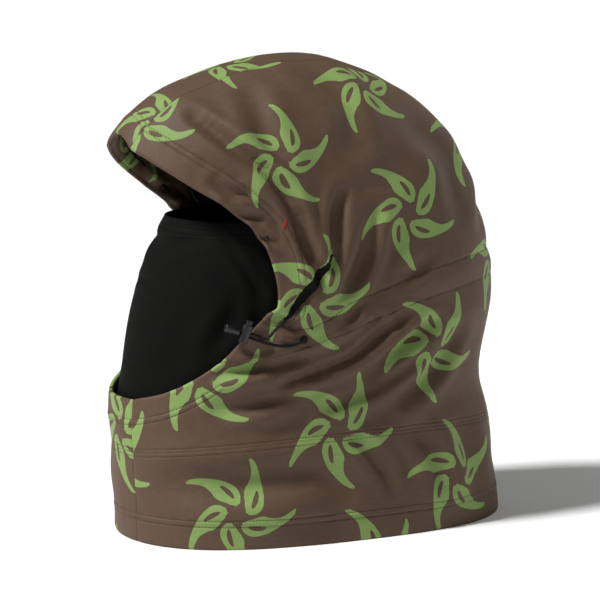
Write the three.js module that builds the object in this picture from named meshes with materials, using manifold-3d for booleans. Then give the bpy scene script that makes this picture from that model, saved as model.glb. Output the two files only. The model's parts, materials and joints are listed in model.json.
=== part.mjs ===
// A snowboard balaclava, filled out as it is worn: a three-panel hood, a cord channel round the
// back of the head, a tall neck gaiter and a stretch face mask that pulls down.
// Millimetres. +Z is up and the hem stands on z = 0. -Y is the face side, +X the wearer's left.
import * as THREE from "three";
import { mergeVertices } from "three/addons/utils/BufferGeometryUtils.js";
import Module from "manifold-3d";

const wasm = await Module();
wasm.setup();

// ---- Driving dimensions ----
const POLE_HEIGHT = 180; // hem to the ear, the middle of the head's round part
const HALF_WIDTH = 92; // middle plane to the fabric over the ear
const CROWN_RADIUS = 205; // ear to the top of the crown
const NECK_HALF_WIDTH = 88; // at the waist of the neck
const HEM_HALF_WIDTH = 98;
const FULLNESS = 0.28; // how much fuller than an ellipse each section is towards its ends
const NECK_BACK = 150; // ear axis to the back of the neck's waist
const HEM_DEPTH = 168; // ear axis to the front and to the back of the hem
const RIM_FRONT = 173; // ear axis to the front rim of the neck

const FABRIC = 2.0; // bonded knit of the outer shell
const LINING = 1.0;
const GAP = 0.3; // clearance between pieces that touch
const SEAM = 0.34; // opening left along each seam between two panels
const CORD = 2.4; // braided elastic, diameter
const CROWN_STRIP_FRONT = 28; // half widths of the strip over the crown
const CROWN_STRIP_BACK = 20;
const FRONT_STRIP = 26; // half width of the strip down the front of the neck
const YOKE_FRONT = 70; // heights of the seam round the neck
const YOKE_BACK = 81;
const HEM = 22; // turned-up hem at the bottom

const MASK = 1.4; // stretch jersey
const MASK_TOP = 256;
const MASK_HEM = 13; // doubled band along the mask's top
const MASK_FOOT = 94; // height where the mask is sewn in
const MASK_BACK = 40; // the mask's side edges stop this far in front of the ear

const GUSSET_HALF_WIDTH = 3.4; // dark insert in the cheek
const EYELET_RADIUS = 3.5;
const BARTACK = [6.5, 2.4, 0.7];

const LOCK_RADIUS = 4; // barrel of the cord lock
const LOCK_LENGTH = 15;
const LOCK_WALL = 1.2;
const BUTTON_TRAVEL = 2.2;
const BUTTON_PROUD = 3.2; // the button's head stands this far out of the barrel, with its travel
const END_LENGTH = 12; // bell-shaped cord end
const END_RADIUS = 3.6;

const degrees = Math.PI / 180;
const v3 = (x, y, z) => new THREE.Vector3(x, y, z);

// ---- The body's surface ----
// A smooth curve through [place, value] pairs.
function table(pairs) {
  const slope = pairs.map((p, i) => {
    const a = pairs[Math.max(i - 1, 0)], b = pairs[Math.min(i + 1, pairs.length - 1)];
    return (b[1] - a[1]) / (b[0] - a[0]);
  });
  return (s) => {
    let i = 0;
    while (i < pairs.length - 2 && s > pairs[i + 1][0]) i++;
    const [s0, v0] = pairs[i], [s1, v1] = pairs[i + 1];
    const h = s1 - s0, t = Math.min(1, Math.max(0, (s - s0) / h));
    const t2 = t * t, t3 = t2 * t;
    return (2 * t3 - 3 * t2 + 1) * v0 + (t3 - 2 * t2 + t) * h * slope[i] +
      (3 * t2 - 2 * t3) * v1 + (t3 - t2) * h * slope[i + 1];
  };
}
// Side outline of the hood seen from the ear: angle up from straight back, and the reach there as
// a share of the crown's.
const hoodShape = table([
  [0, 0.78], [25, 0.812], [43, 0.862], [55, 0.9], [67, 0.937], [90, 0.998], [113, 1.036],
  [139, 1.09], [160, 0.98], [180, 0.825],
]);
const hoodReach = (angle) => CROWN_RADIUS * hoodShape(angle / degrees);
// The neck's half axes against height, as on the base size, stretched with the neck's height.
const neckHeight = (z) => z * POLE_HEIGHT / 180;
const neckSide = table([
  [0, HEM_HALF_WIDTH], [neckHeight(115), NECK_HALF_WIDTH], [POLE_HEIGHT, HALF_WIDTH],
]);
const neckBack = table([
  [0, HEM_DEPTH], [neckHeight(80), NECK_BACK + 9], [neckHeight(113), NECK_BACK],
  [POLE_HEIGHT, hoodReach(0)],
]);
const neckFront = table([
  [0, HEM_DEPTH], [neckHeight(115), RIM_FRONT], [POLE_HEIGHT, hoodReach(Math.PI)],
]);
const neckReach = (y, z) => (y > 0 ? neckBack(z) : neckFront(z));

// Half a section: its width at an angle off the ear's axis, as a share, and the angle for a width.
const sideShare = (off) => Math.cos(off) * (1 + FULLNESS * Math.sin(off) ** 2);
function offFor(share) {
  let low = 0, high = Math.PI / 2;
  for (let k = 0; k < 40; k++) {
    const half = (low + high) / 2;
    if (sideShare(half) > share) low = half;
    else high = half;
  }
  return (low + high) / 2;
}

// A chart [a, b] lays one side of the body out flat: above the ear it is the angle off the ear's
// axis, turned to the direction round it, and below the ear a is the angle round the neck.
const NECK_STEP = 150;
function surface([a, b]) {
  if (b < 0) {
    const z = POLE_HEIGHT + b * NECK_STEP;
    return v3(neckSide(z) * sideShare(a), neckReach(a, z) * Math.sin(a), z);
  }
  const off = Math.hypot(a, b), angle = Math.atan2(b, a);
  const r = hoodReach(angle) * Math.sin(off);
  return v3(HALF_WIDTH * sideShare(off), r * Math.cos(angle), POLE_HEIGHT + r * Math.sin(angle));
}
function chart(y, z) {
  if (z < POLE_HEIGHT) {
    const s = Math.max(-1, Math.min(1, y / neckReach(y, z)));
    return [Math.asin(s), (z - POLE_HEIGHT) / NECK_STEP];
  }
  const angle = Math.atan2(z - POLE_HEIGHT, y);
  const r = Math.hypot(y, z - POLE_HEIGHT);
  const off = Math.asin(Math.min(1, r / hoodReach(angle)));
  return [off * Math.cos(angle), off * Math.sin(angle)];
}
function outsideness(x, y, z) {
  const up = z - POLE_HEIGHT;
  const q = up < 0 ? y / neckReach(y, z) : Math.hypot(y, up) / hoodReach(Math.atan2(up, y));
  const width = (up < 0 ? neckSide(z) : HALF_WIDTH) * (1 + FULLNESS * q * q);
  return (x / width) ** 2 + q * q;
}
function normal(p) {
  const h = 0.5;
  return v3(
    outsideness(p.x + h, p.y, p.z) - outsideness(p.x - h, p.y, p.z),
    outsideness(p.x, p.y + h, p.z) - outsideness(p.x, p.y - h, p.z),
    outsideness(p.x, p.y, p.z + h) - outsideness(p.x, p.y, p.z - h),
  ).normalize();
}
// A pattern point, given as [y, z] on the base size, graded to this size and put on the chart.
const NECK_GRADE = POLE_HEIGHT / 180, HOOD_GRADE = CROWN_RADIUS / 205;
function graded(y, z) {
  const up = z < 180 ? z * NECK_GRADE : POLE_HEIGHT + (z - 180) * HOOD_GRADE;
  return [y * HOOD_GRADE, up];
}
const pattern = (points) => points.map(([y, z]) => chart(...graded(y, z)));
// A chart point beside the middle plane: over the crown by angle, or down the neck by height.
function besideCrown(angle, x) {
  const off = offFor(x / HALF_WIDTH);
  return [off * Math.cos(angle), off * Math.sin(angle)];
}
function besideNeck(z, x, side) {
  return [side * offFor(x / neckSide(z)), (z - POLE_HEIGHT) / NECK_STEP];
}

// ---- Seams, as evenly spaced chart points ----
function seam(chartPoints, steps) {
  const curve = new THREE.CatmullRomCurve3(chartPoints.map(([a, b]) => v3(a, b, 0)), false,
    "centripetal");
  const fine = curve.getPoints(240).map((p) => [p.x, p.y]);
  const run = [0];
  for (let i = 1; i < fine.length; i++) {
    run.push(run[i - 1] + surface(fine[i]).distanceTo(surface(fine[i - 1])));
  }
  const out = [];
  for (let k = 0, i = 0; k <= steps; k++) {
    const want = run.at(-1) * k / steps;
    while (i < run.length - 2 && run[i + 1] < want) i++;
    const t = (want - run[i]) / (run[i + 1] - run[i]);
    out.push([0, 1].map((c) => fine[i][c] + (fine[i + 1][c] - fine[i][c]) * t));
  }
  return out;
}
const ALONG = 16, BACK = 8, RISE = 8; // steps over the crown, down the back, along the face
const ACROSS = 2, RIM = 5, NECK = 2, GAITER = 3; // steps across the channel, along the rim, down
const crownAngles = [];
const BRIM_CORNER = 141.5, CROWN_TURN = 60, CHANNEL_TOP = 15.5;
for (let i = 0; i <= ALONG; i++) {
  crownAngles.push((BRIM_CORNER + (CROWN_TURN - BRIM_CORNER) * i / ALONG) * degrees);
}
for (let i = 1; i <= BACK; i++) {
  crownAngles.push((CROWN_TURN + (CHANNEL_TOP - CROWN_TURN) * i / BACK) * degrees);
}
const crownHalf = (i) => {
  const t = i / (ALONG + BACK);
  return CROWN_STRIP_FRONT + (CROWN_STRIP_BACK - CROWN_STRIP_FRONT) * t * t;
};
const crownSeam = crownAngles.map((angle, i) => besideCrown(angle, crownHalf(i)));

const channelFront = pattern([[-82, 181]])[0]; // where the channel's top seam meets the rim
const faceEdge = seam([
  crownSeam[0],
  ...pattern([[-153, 301], [-137, 289], [-105, 267], [-87, 251], [-75, 230], [-69.5, 208],
    [-70, 193]]),
  channelFront,
], RISE);
const channelTop = seam([
  channelFront,
  ...pattern([[-64, 175.5], [-47, 173.5], [11, 198], [64, 213], [109, 222]]),
  crownSeam.at(-1),
], ALONG);
for (const x of [CROWN_STRIP_BACK / 2, 0]) channelTop.push(besideCrown(crownAngles.at(-1), x));
const channelLow = seam([
  ...pattern([[-112, 149], [-85, 150], [-54, 156], [-28, 163], [43, 186], [108, 198], [146, 202]]),
  besideCrown(Math.asin(Math.min(1, 23 * HOOD_GRADE / hoodReach(8 * degrees))), 0),
], ALONG + 2);
const channelMouth = seam([channelFront, ...pattern([[-97, 164]]), channelLow[0]], ACROSS);
const RIM_HEIGHT = neckHeight(115);
const rimEdge = seam([
  besideNeck(RIM_HEIGHT + 0.5, FRONT_STRIP, -1),
  ...pattern([[-152, 123], [-137, 131], [-122, 141]]),
  channelLow[0],
], RIM);
const yokeHeight = (a) => {
  const t = (a + Math.PI / 2) / Math.PI;
  return neckHeight(YOKE_FRONT + (YOKE_BACK - YOKE_FRONT) * t + 9 * Math.sin(Math.PI * t));
};
function neckRing(height) {
  const ring = [];
  for (let k = 0; k <= 8; k++) {
    const edge = -offFor(FRONT_STRIP / neckSide(height(-1.3)));
    const a = edge + (Math.PI / 2 - edge) * k / 8;
    ring.push([a, (height(a) - POLE_HEIGHT) / NECK_STEP]);
  }
  return seam(ring, RIM + ALONG + 2);
}
const yokeSeam = neckRing(yokeHeight);
const hemEdge = neckRing(() => 0);
const hemTop = neckRing(() => HEM);

// ---- Patches: grids of surface points with their normals ----
// A grid of chart points that fills four seams: top and bottom run along i, left and right along j.
// Lines from top to bottom are straight, and bend only near the curved left and right seams.
function fill(top, bottom, left, right) {
  const nu = top.length - 1, nv = left.length - 1;
  return top.map((_, i) => {
    const leftPull = (1 - i / nu) ** 3, rightPull = (i / nu) ** 3;
    return left.map((_, j) => {
      const v = j / nv;
      const between = (a, b, c) => (1 - v) * a[c] + v * b[c];
      return [0, 1].map((c) => between(top[i], bottom[i], c) +
        leftPull * (left[j][c] - between(top[0], bottom[0], c)) +
        rightPull * (right[j][c] - between(top[nu], bottom[nu], c)));
    });
  });
}
function straight(from, to, steps) {
  const out = [];
  for (let k = 0; k <= steps; k++) {
    out.push([0, 1].map((c) => from[c] + (to[c] - from[c]) * k / steps));
  }
  return out;
}
const lift = (grid) => grid.map((row) => row.map((c) => {
  const p = surface(c);
  return { p, n: normal(p) };
}));
const flip = ({ p, n }) => ({ p: v3(-p.x, p.y, p.z), n: v3(-n.x, n.y, n.z) });
const mirrored = (grid) => grid.map((row) => row.map(flip));
// Joins a left half to its mirror image; the halves share their last line, on the middle plane.
const bothSides = (grid) => [...grid, ...mirrored(grid).reverse().slice(1)];
const mix = (a, b, t) => ({ p: a.p.clone().lerp(b.p, t), n: a.n.clone().lerp(b.n, t).normalize() });
// Cuts a grid at other lines, which stay on its flat facets: is and js count the old lines.
function recut(grid, is, js) {
  const line = (get, s, last) => {
    const i = Math.min(Math.floor(s), last - 1);
    return mix(get(i), get(i + 1), s - i);
  };
  return is.map((s) => js.map((t) => line(
    (j) => line((i) => grid[i][j], s, grid.length - 1), t, grid[0].length - 1)));
}
const count = (n, from = 0) => Array.from({ length: n + 1 }, (_, i) => from + i);
const whole = (grid) => [count(grid.length - 1), count(grid[0].length - 1)];

const sideGrid = lift(fill(crownSeam.slice(0, ALONG + 1), channelTop.slice(0, ALONG + 1),
  faceEdge, crownSeam.slice(ALONG)));
const channelGrid = lift(fill(channelTop, channelLow, channelMouth,
  straight(channelTop.at(-1), channelLow.at(-1), ACROSS)));
const neckTop = [...rimEdge, ...channelLow.slice(1)];
const neckGrid = lift(fill(neckTop, yokeSeam, straight(neckTop[0], yokeSeam[0], NECK),
  straight(neckTop.at(-1), yokeSeam.at(-1), NECK)));
// The gaiter's last line but one is the top of the turned hem.
const gaiterRows = straight([0, 0], [1, 1], GAITER - 1).map(([t]) => yokeSeam.map((c, i) =>
  [0, 1].map((k) => c[k] + (hemTop[i][k] - c[k]) * t)));
gaiterRows.push(hemEdge);
const gaiterGrid = lift(yokeSeam.map((_, i) => gaiterRows.map((row) => row[i])));
const STRIP = 4; // steps across the two middle strips
function crownPoint(i, s) {
  const x = crownHalf(i) * s;
  const brim = Math.max(0, 1 - i / 6) * (1 - s * s) * 2.2 * degrees;
  const angle = crownAngles[i] - brim;
  const r = hoodReach(angle) * Math.sin(offFor(Math.abs(x) / HALF_WIDTH));
  const p = v3(x, r * Math.cos(angle), POLE_HEIGHT + r * Math.sin(angle));
  return { p, n: normal(p) };
}
const sides = count(STRIP).map((k) => 1 - 2 * k / STRIP);
const crownGrid = crownAngles.map((_, i) => sides.map((s) => crownPoint(i, s)));
function frontPoint(z, s) {
  const x = FRONT_STRIP * s;
  const p = v3(x, -neckFront(z) * Math.sin(offFor(Math.abs(x) / neckSide(z))), z);
  return { p, n: normal(p) };
}
const stripHeights = (chartSide) => chartSide.map((c) => POLE_HEIGHT + c[1] * NECK_STEP);
const frontUpper = stripHeights(straight(neckTop[0], yokeSeam[0], NECK))
  .map((z) => sides.map((s) => frontPoint(z, s)));
const frontLower = stripHeights(gaiterRows.map((row) => row[0]))
  .map((z) => sides.map((s) => frontPoint(z, s)));

// ---- Solids ----
const root = new THREE.Group();
const looks = {
  print: { color: 0x55443a, roughness: 0.62 },
  black: { color: 0x191917, roughness: 0.8 },
  mask: { color: 0x1b1b1a, roughness: 0.85 },
  cord: { color: 0x151514, roughness: 0.7 },
  plastic: { color: 0x121212, roughness: 0.35 },
  steel: { color: 0x9a9a98, roughness: 0.3, metalness: 1 },
  tack: { color: 0x96202a, roughness: 0.7 },
};
function add(name, geometry, look, place = root) {
  const material = new THREE.MeshStandardMaterial({ metalness: 0, ...looks[look] });
  const mesh = new THREE.Mesh(geometry, material);
  mesh.name = name;
  place.add(mesh);
  return mesh;
}
function closed(points, faces) {
  let volume = 0;
  for (const [a, b, c] of faces) {
    volume += points[a].dot(points[b].clone().cross(points[c]));
  }
  const geometry = new THREE.BufferGeometry();
  geometry.setAttribute("position",
    new THREE.Float32BufferAttribute(points.flatMap((p) => p.toArray()), 3));
  geometry.setIndex((volume < 0 ? faces.map(([a, b, c]) => [a, c, b]) : faces).flat());
  return geometry;
}
// The closed solid between two depths under a grid. A depth is a number or depth(i, j). Its four
// sides draw back from the seams by half a seam's opening.
function shell(grid, from, to) {
  const nu = grid.length - 1, nv = grid[0].length - 1;
  const depth = (d, i, j) => (typeof d === "number" ? d : d(i, j));
  const drawn = (i, j) => {
    const { p, n } = grid[i][j];
    const q = p.clone();
    const towards = (other) => q.addScaledVector(other.p.clone().sub(p).normalize(), SEAM / 2);
    if (i === 0) towards(grid[1][j]);
    if (i === nu) towards(grid[nu - 1][j]);
    if (j === 0) towards(grid[i][1]);
    if (j === nv) towards(grid[i][nv - 1]);
    return { q, n };
  };
  const points = [], faces = [];
  const at = (i, j, k) => (i * (nv + 1) + j) * 2 + k;
  for (let i = 0; i <= nu; i++) {
    for (let j = 0; j <= nv; j++) {
      const { q, n } = drawn(i, j);
      const stands = q.z < SEAM; // the hem's edge is flat, so that the hood stands on it
      for (const d of [from, to]) {
        const layer = q.clone().addScaledVector(n, -depth(d, i, j));
        points.push(stands ? layer.setZ(0) : layer);
      }
    }
  }
  const quad = (a, b, c, d) => faces.push([a, b, c], [a, c, d]);
  for (let i = 0; i < nu; i++) {
    for (let j = 0; j < nv; j++) {
      quad(at(i, j, 0), at(i + 1, j, 0), at(i + 1, j + 1, 0), at(i, j + 1, 0));
      quad(at(i, j, 1), at(i, j + 1, 1), at(i + 1, j + 1, 1), at(i + 1, j, 1));
    }
    quad(at(i, 0, 0), at(i, 0, 1), at(i + 1, 0, 1), at(i + 1, 0, 0));
    quad(at(i + 1, nv, 0), at(i + 1, nv, 1), at(i, nv, 1), at(i, nv, 0));
  }
  for (let j = 0; j < nv; j++) {
    quad(at(0, j + 1, 0), at(0, j + 1, 1), at(0, j, 1), at(0, j, 0));
    quad(at(nu, j, 0), at(nu, j, 1), at(nu, j + 1, 1), at(nu, j + 1, 0));
  }
  return closed(points, faces);
}
function pair(name, grid, from, to, look) {
  add(name + "_left", shell(grid, from, to), look);
  add(name + "_right", shell(mirrored(grid), from, to), look);
}

// Joins and cuts.
function solid(geometry) {
  const g = geometry.clone();
  g.deleteAttribute("normal");
  g.deleteAttribute("uv");
  const merged = mergeVertices(g, 1e-4);
  return new wasm.Manifold(new wasm.Mesh({
    numProp: 3,
    vertProperties: new Float32Array(merged.getAttribute("position").array),
    triVerts: new Uint32Array(merged.index.array),
  }));
}
function geometryOf(manifold) {
  const mesh = manifold.getMesh();
  const g = new THREE.BufferGeometry();
  g.setAttribute("position", new THREE.BufferAttribute(mesh.vertProperties, 3));
  g.setIndex(new THREE.BufferAttribute(mesh.triVerts, 1));
  return g;
}
const cut = (geometry, ...tools) =>
  geometryOf(tools.reduce((made, tool) => made.subtract(solid(tool)), solid(geometry)));

// ---- The cheek gusset: a narrow dark leaf between the face hem and the side panel ----
const GUSSET = [[-63, 181.5], [-21, 230]];
function gussetGrid(margin) {
  const [from, to] = GUSSET.map(([y, z]) => new THREE.Vector2(...graded(y, z)));
  const way = to.clone().sub(from), length = way.length();
  way.normalize();
  const aside = new THREE.Vector2(-way.y, way.x);
  return count(8).map((k) => {
    const t = k / 8;
    const half = GUSSET_HALF_WIDTH * Math.sin(Math.PI * t) ** 0.8 + 0.4 + margin;
    const run = -margin + (length + 2 * margin) * t;
    return [-1, 0, 1].map((s) => {
      const at = from.clone().addScaledVector(way, run).addScaledVector(aside, s * half);
      const p = surface(chart(at.x, at.y));
      return { p, n: normal(p) };
    });
  });
}

// ---- Outer shell ----
const sidePanel = cut(shell(sideGrid, 0, FABRIC), shell(gussetGrid(SEAM), -2, FABRIC + 2));
add("side_panel_left", sidePanel, "print");
const otherSide = sidePanel.clone().scale(-1, 1, 1);
otherSide.setIndex([...otherSide.index.array].reverse());
add("side_panel_right", otherSide, "print");
add("crown_strip", shell(crownGrid, 0, FABRIC), "print");
add("rear_channel", shell(bothSides(channelGrid), 0, FABRIC), "print");
pair("neck_panel", neckGrid, 0, FABRIC, "print");
pair("gaiter_panel", gaiterGrid, 0, FABRIC, "print");
add("front_strip_upper", shell(frontUpper, 0, FABRIC), "print");
add("front_strip_lower", shell(frontLower, 0, FABRIC), "print");
pair("cheek_gusset", gussetGrid(0), 0.5, FABRIC, "black");

// ---- Turned hems, and the two channels the drawcord runs in ----
const UNDER = FABRIC + GAP; // depth just under the outer shell
const CHANNEL = UNDER + CORD + 2 * GAP; // depth that leaves room for the cord
const CORD_DEPTH = (FABRIC + CHANNEL) / 2;
const LEAF = 1.3;
const profile = (depths, thickness) => [(i) => depths[i], (i) => depths[i] + thickness];
const hemLines = [0, 0.12, 0.3, 1.5, 1.68, 2];
const SEWN = UNDER + GAP; // the turned leaf lies here along its stitching
const hemDepths = [SEWN, SEWN, CHANNEL, CHANNEL, SEWN, SEWN];
const CORD_LINE = 0.9; // where the cord runs, between the same lines
const RIM_TURN = 0.6; // the turned rim's share of the first row
pair("face_facing", recut(sideGrid, hemLines, whole(sideGrid)[1]),
  ...profile(hemDepths, LEAF), "print");
add("crown_facing", shell(recut(crownGrid, hemLines, whole(crownGrid)[1]),
  ...profile(hemDepths, LEAF)), "print");
pair("rim_facing", recut(neckGrid, count(RIM), [0, RIM_TURN]), UNDER, UNDER + LEAF, "print");
add("front_rim_facing", shell(recut(frontUpper, [0, RIM_TURN], whole(frontUpper)[1]),
  UNDER, UNDER + LEAF), "print");
pair("hem_facing", recut(gaiterGrid, whole(gaiterGrid)[0], [GAITER - 1, GAITER - 0.03]),
  UNDER, UNDER + LEAF, "print");
add("front_hem_facing", shell(recut(frontLower, [GAITER - 1, GAITER - 0.03],
  whole(frontLower)[1]), UNDER, UNDER + LEAF), "print");

// ---- Lining ----
pair("side_lining", recut(sideGrid, count(ALONG - 2, 2), whole(sideGrid)[1]),
  UNDER, UNDER + LINING, "black");
add("crown_lining", shell(recut(crownGrid, count(ALONG + BACK - 2, 2), whole(crownGrid)[1]),
  UNDER, UNDER + LINING), "black");
const channelLines = [0, 0.15, 0.35, 1.65, 1.85, 2];
add("channel_lining", shell(recut(bothSides(channelGrid), count(2 * (ALONG + 2)), channelLines),
  ...profile(hemDepths, LINING).map((d) => (i, j) => d(j))), "black");
pair("neck_lining", recut(neckGrid, count(ALONG + 2, RIM), whole(neckGrid)[1]),
  UNDER, UNDER + LINING, "black");
pair("rim_lining", recut(neckGrid, count(RIM), [RIM_TURN, 1, 2]), UNDER, UNDER + LINING, "black");
pair("gaiter_lining", recut(gaiterGrid, whole(gaiterGrid)[0], count(GAITER - 1)),
  UNDER, UNDER + LINING, "black");
add("front_lining_upper", shell(recut(frontUpper, [RIM_TURN, 1, 2], whole(frontUpper)[1]),
  UNDER, UNDER + LINING), "black");
add("front_lining_lower", shell(recut(frontLower, count(GAITER - 1), whole(frontLower)[1]),
  UNDER, UNDER + LINING), "black");

// ---- Cords ----
// A route that keeps to the straight lines between its points.
class Route extends THREE.Curve {
  constructor(points) {
    super();
    this.points = points;
  }
  getPoint(t) {
    const s = t * (this.points.length - 1);
    const i = Math.min(Math.floor(s), this.points.length - 2);
    return this.points[i].clone().lerp(this.points[i + 1], s - i);
  }
  getPointAt(u) {
    return this.getPoint(u);
  }
  getTangentAt(u) {
    const last = this.points.length - 1, k = Math.round(u * last);
    return this.points[Math.min(k + 1, last)].clone().sub(this.points[Math.max(k - 1, 0)])
      .normalize();
  }
}
function tube(curve, steps, radius = CORD / 2) {
  const section = new THREE.Shape(count(7).map((k) =>
    new THREE.Vector2(radius, 0).rotateAround(new THREE.Vector2(), k * Math.PI / 4)));
  return new THREE.ExtrudeGeometry(section, { steps, extrudePath: curve, bevelEnabled: false });
}
const buried = ({ p, n }, depth) => p.clone().addScaledVector(n, -depth);
const channelLine = recut(bothSides(channelGrid), count(2 * (ALONG + 2) - 8, 4), [1])
  .map(([cell]) => buried(cell, CORD_DEPTH));
add("rear_cord", tube(new Route(channelLine), channelLine.length - 1), "cord");
const faceLine = recut(sideGrid, [CORD_LINE], count(RISE - 1))[0].reverse();
const brimLine = recut(crownGrid, [CORD_LINE], whole(crownGrid)[1])[0].slice(1, -1);
const brimRoute = [...faceLine, ...brimLine, ...faceLine.map(flip).reverse()]
  .map((cell) => buried(cell, CORD_DEPTH));
add("brim_cord", tube(new Route(brimRoute), brimRoute.length - 1), "cord");

// ---- Face mask ----
const maskSide = table([
  [MASK_FOOT, neckSide(MASK_FOOT) - UNDER - LEAF - GAP], [neckHeight(124), NECK_HALF_WIDTH - 5],
  [POLE_HEIGHT, HALF_WIDTH - 9], [MASK_TOP, HALF_WIDTH - 13],
]);
const maskFront = table([
  [MASK_FOOT, neckFront(MASK_FOOT) - UNDER - LEAF - GAP], [neckHeight(124), RIM_FRONT - 9.5],
  [POLE_HEIGHT, hoodReach(Math.PI) - 16], [MASK_TOP - 41, hoodReach(Math.PI) - 26.5],
  [MASK_TOP - 18, hoodReach(Math.PI) - 38], [MASK_TOP, hoodReach(Math.PI) - 47],
]);
function maskGrid(from, to, rows, columns = 24) {
  return count(rows).map((k) => {
    const z = from + (to - from) * k / rows;
    const side = maskSide(z), front = maskFront(z);
    const edge = Math.asin(MASK_BACK / front);
    return count(columns).map((m) => {
      const t = edge + (Math.PI - 2 * edge) * m / columns;
      const at = (s) => v3(side * sideShare(s), -front * Math.sin(s), z);
      const along = at(t + 0.01).sub(at(t - 0.01));
      return { p: at(t), n: v3(-along.y, along.x, 0).normalize() };
    });
  });
}
const maskSeam = MASK_TOP - MASK_HEM;
add("mask_front", shell(maskGrid(MASK_FOOT, maskSeam, 9), 0, MASK), "mask");
add("mask_hem", shell(maskGrid(maskSeam, MASK_TOP, 2), 0, MASK + 0.4), "mask");

// ---- Fittings on each cheek, placed in a frame on the surface and mirrored ----
function sideways(y, z, off) {
  const [gy, gz] = graded(y, z);
  const p = surface(chart(gy, gz));
  return v3(p.x + off, gy, gz);
}
function frameAt(p, out, along) {
  const x = along.clone().addScaledVector(out, -along.dot(out)).normalize();
  const y = out.clone();
  return new THREE.Matrix4().makeBasis(x, y, x.clone().cross(y)).setPosition(p);
}
const UP = v3(0, 0, 1);
const eyeletFoot = sideways(-47, 164.5, 0), eyeletOut = normal(eyeletFoot);
const bartackFoot = sideways(-64, 256, 0), bartackOut = normal(bartackFoot);
const LOCK_STAND = 5.2;
const lockFoot = sideways(-96.5, 172, LOCK_STAND), lockOut = normal(lockFoot).setZ(0).normalize();
const CORD_RISE = 20 * degrees; // the doubled cord points forward and up through the lock
const cordWay = v3(lockOut.y, -lockOut.x, 0).multiplyScalar(Math.cos(CORD_RISE))
  .addScaledVector(UP, Math.sin(CORD_RISE));
const lockFrame = frameAt(lockFoot, lockOut, cordWay);
const barrelWay = new THREE.Vector3().setFromMatrixColumn(lockFrame, 2);

const PITCH = CORD + 0.8; // between the two strands where they lie together
const SLOT = CORD + PITCH + 2 * GAP;
const END_START = LOCK_RADIUS + 1; // the cord end starts here, beside the lock
const STRAIGHT = 17; // the strands are straight this far behind the lock
function onCord(s, strand) {
  return lockFoot.clone().addScaledVector(cordWay, s)
    .addScaledVector(barrelWay, strand * PITCH / 2);
}
// Each strand: points as [y, z, stand-off], then the straight run through the lock.
const strands = {
  rear_strand: [-1, [[-47.1, 164.5, 0.5], [-47.7, 164.4, 2.7], [-50.6, 163.4, 4.3], [-54.6, 162.3, 4.6],
    [-60.4, 161.2, 5.3], [-66.9, 161.2, 5.6], [-73.3, 162.3, 5.8]]],
  front_strand: [1, [[-62.6, 181.6, 0.9], [-64.4, 181, 3.4], [-68.6, 178.5, 5.2],
    [-73.4, 174.5, 6]]],
};
const other = new THREE.Matrix4().makeScale(-1, 1, 1);
function fitting(name, geometry, look, frame = new THREE.Matrix4()) {
  for (const [side, turn] of [["left", new THREE.Matrix4()], ["right", other]]) {
    const g = geometry.clone().applyMatrix4(frame).applyMatrix4(turn);
    if (turn === other) {
      const merged = mergeVertices(strip(g));
      merged.setIndex([...merged.index.array].reverse());
      add(name + "_" + side, merged, look);
    } else {
      add(name + "_" + side, mergeVertices(strip(g)), look);
    }
  }
}
function strip(geometry) {
  geometry.deleteAttribute("normal");
  geometry.deleteAttribute("uv");
  return geometry;
}
// A ring or a turned piece about the local z axis, from [radius, z] points.
const turned = (points, sides = 20) => new THREE.LatheGeometry(
  points.map(([r, z]) => new THREE.Vector2(r, z)), sides).rotateX(Math.PI / 2);

for (const [name, [strand, points]] of Object.entries(strands)) {
  const way = [...points.map((p) => sideways(...p)), onCord(-STRAIGHT, strand),
    onCord(-STRAIGHT / 2, strand), onCord(0, strand), onCord(END_START - GAP, strand)];
  const curve = new THREE.CatmullRomCurve3(way, false, "centripetal");
  fitting(name, tube(curve, 22), "cord");
}
const eyeletBore = CORD / 2 + 2 * GAP;
const outward = new THREE.Matrix4().makeBasis(v3(1, 0, 0), v3(0, 0, -1), v3(0, 1, 0));
fitting("eyelet", turned([[eyeletBore, 0.2], [EYELET_RADIUS, 0.2], [EYELET_RADIUS - 0.3, 0.9],
  [eyeletBore + 0.4, 1.2], [eyeletBore, 0.9], [eyeletBore, 0.2]], 16), "cord",
frameAt(eyeletFoot, eyeletOut, UP).multiply(outward));
const tackWay = v3(0, 0.55, 0.83); // the bartack lies across the hem, on the slant
fitting("bartack", new THREE.BoxGeometry(BARTACK[0], BARTACK[2], BARTACK[1])
  .translate(0, BARTACK[2] / 2 + 0.15, 0), "tack", frameAt(bartackFoot, bartackOut, tackWay));

// The cord lock: a barrel with a spring-loaded button, both crossed by the slot for the cords.
const barrelBottom = -LOCK_LENGTH / 2, barrelTop = LOCK_LENGTH / 2;
const bore = LOCK_RADIUS - LOCK_WALL;
const stem = bore - GAP;
const stemFoot = -SLOT / 2 - 0.7;
const slotCut = (bottom, top) => new THREE.BoxGeometry(4 * LOCK_RADIUS, CORD + 2 * GAP,
  top - bottom).translate(0, 0, (top + bottom) / 2);
const floor = barrelBottom + LOCK_WALL;
fitting("lock_body", cut(turned([[0, barrelBottom], [LOCK_RADIUS - 0.7, barrelBottom],
  [LOCK_RADIUS, barrelBottom + 0.7], [LOCK_RADIUS, barrelTop - 0.7],
  [LOCK_RADIUS - 0.7, barrelTop], [bore, barrelTop], [bore, floor], [0, floor]], 28),
slotCut(-SLOT / 2, SLOT / 2)), "plastic", lockFrame);
const headBottom = barrelTop + BUTTON_TRAVEL + GAP;
const headTop = headBottom + BUTTON_PROUD - BUTTON_TRAVEL;
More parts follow.
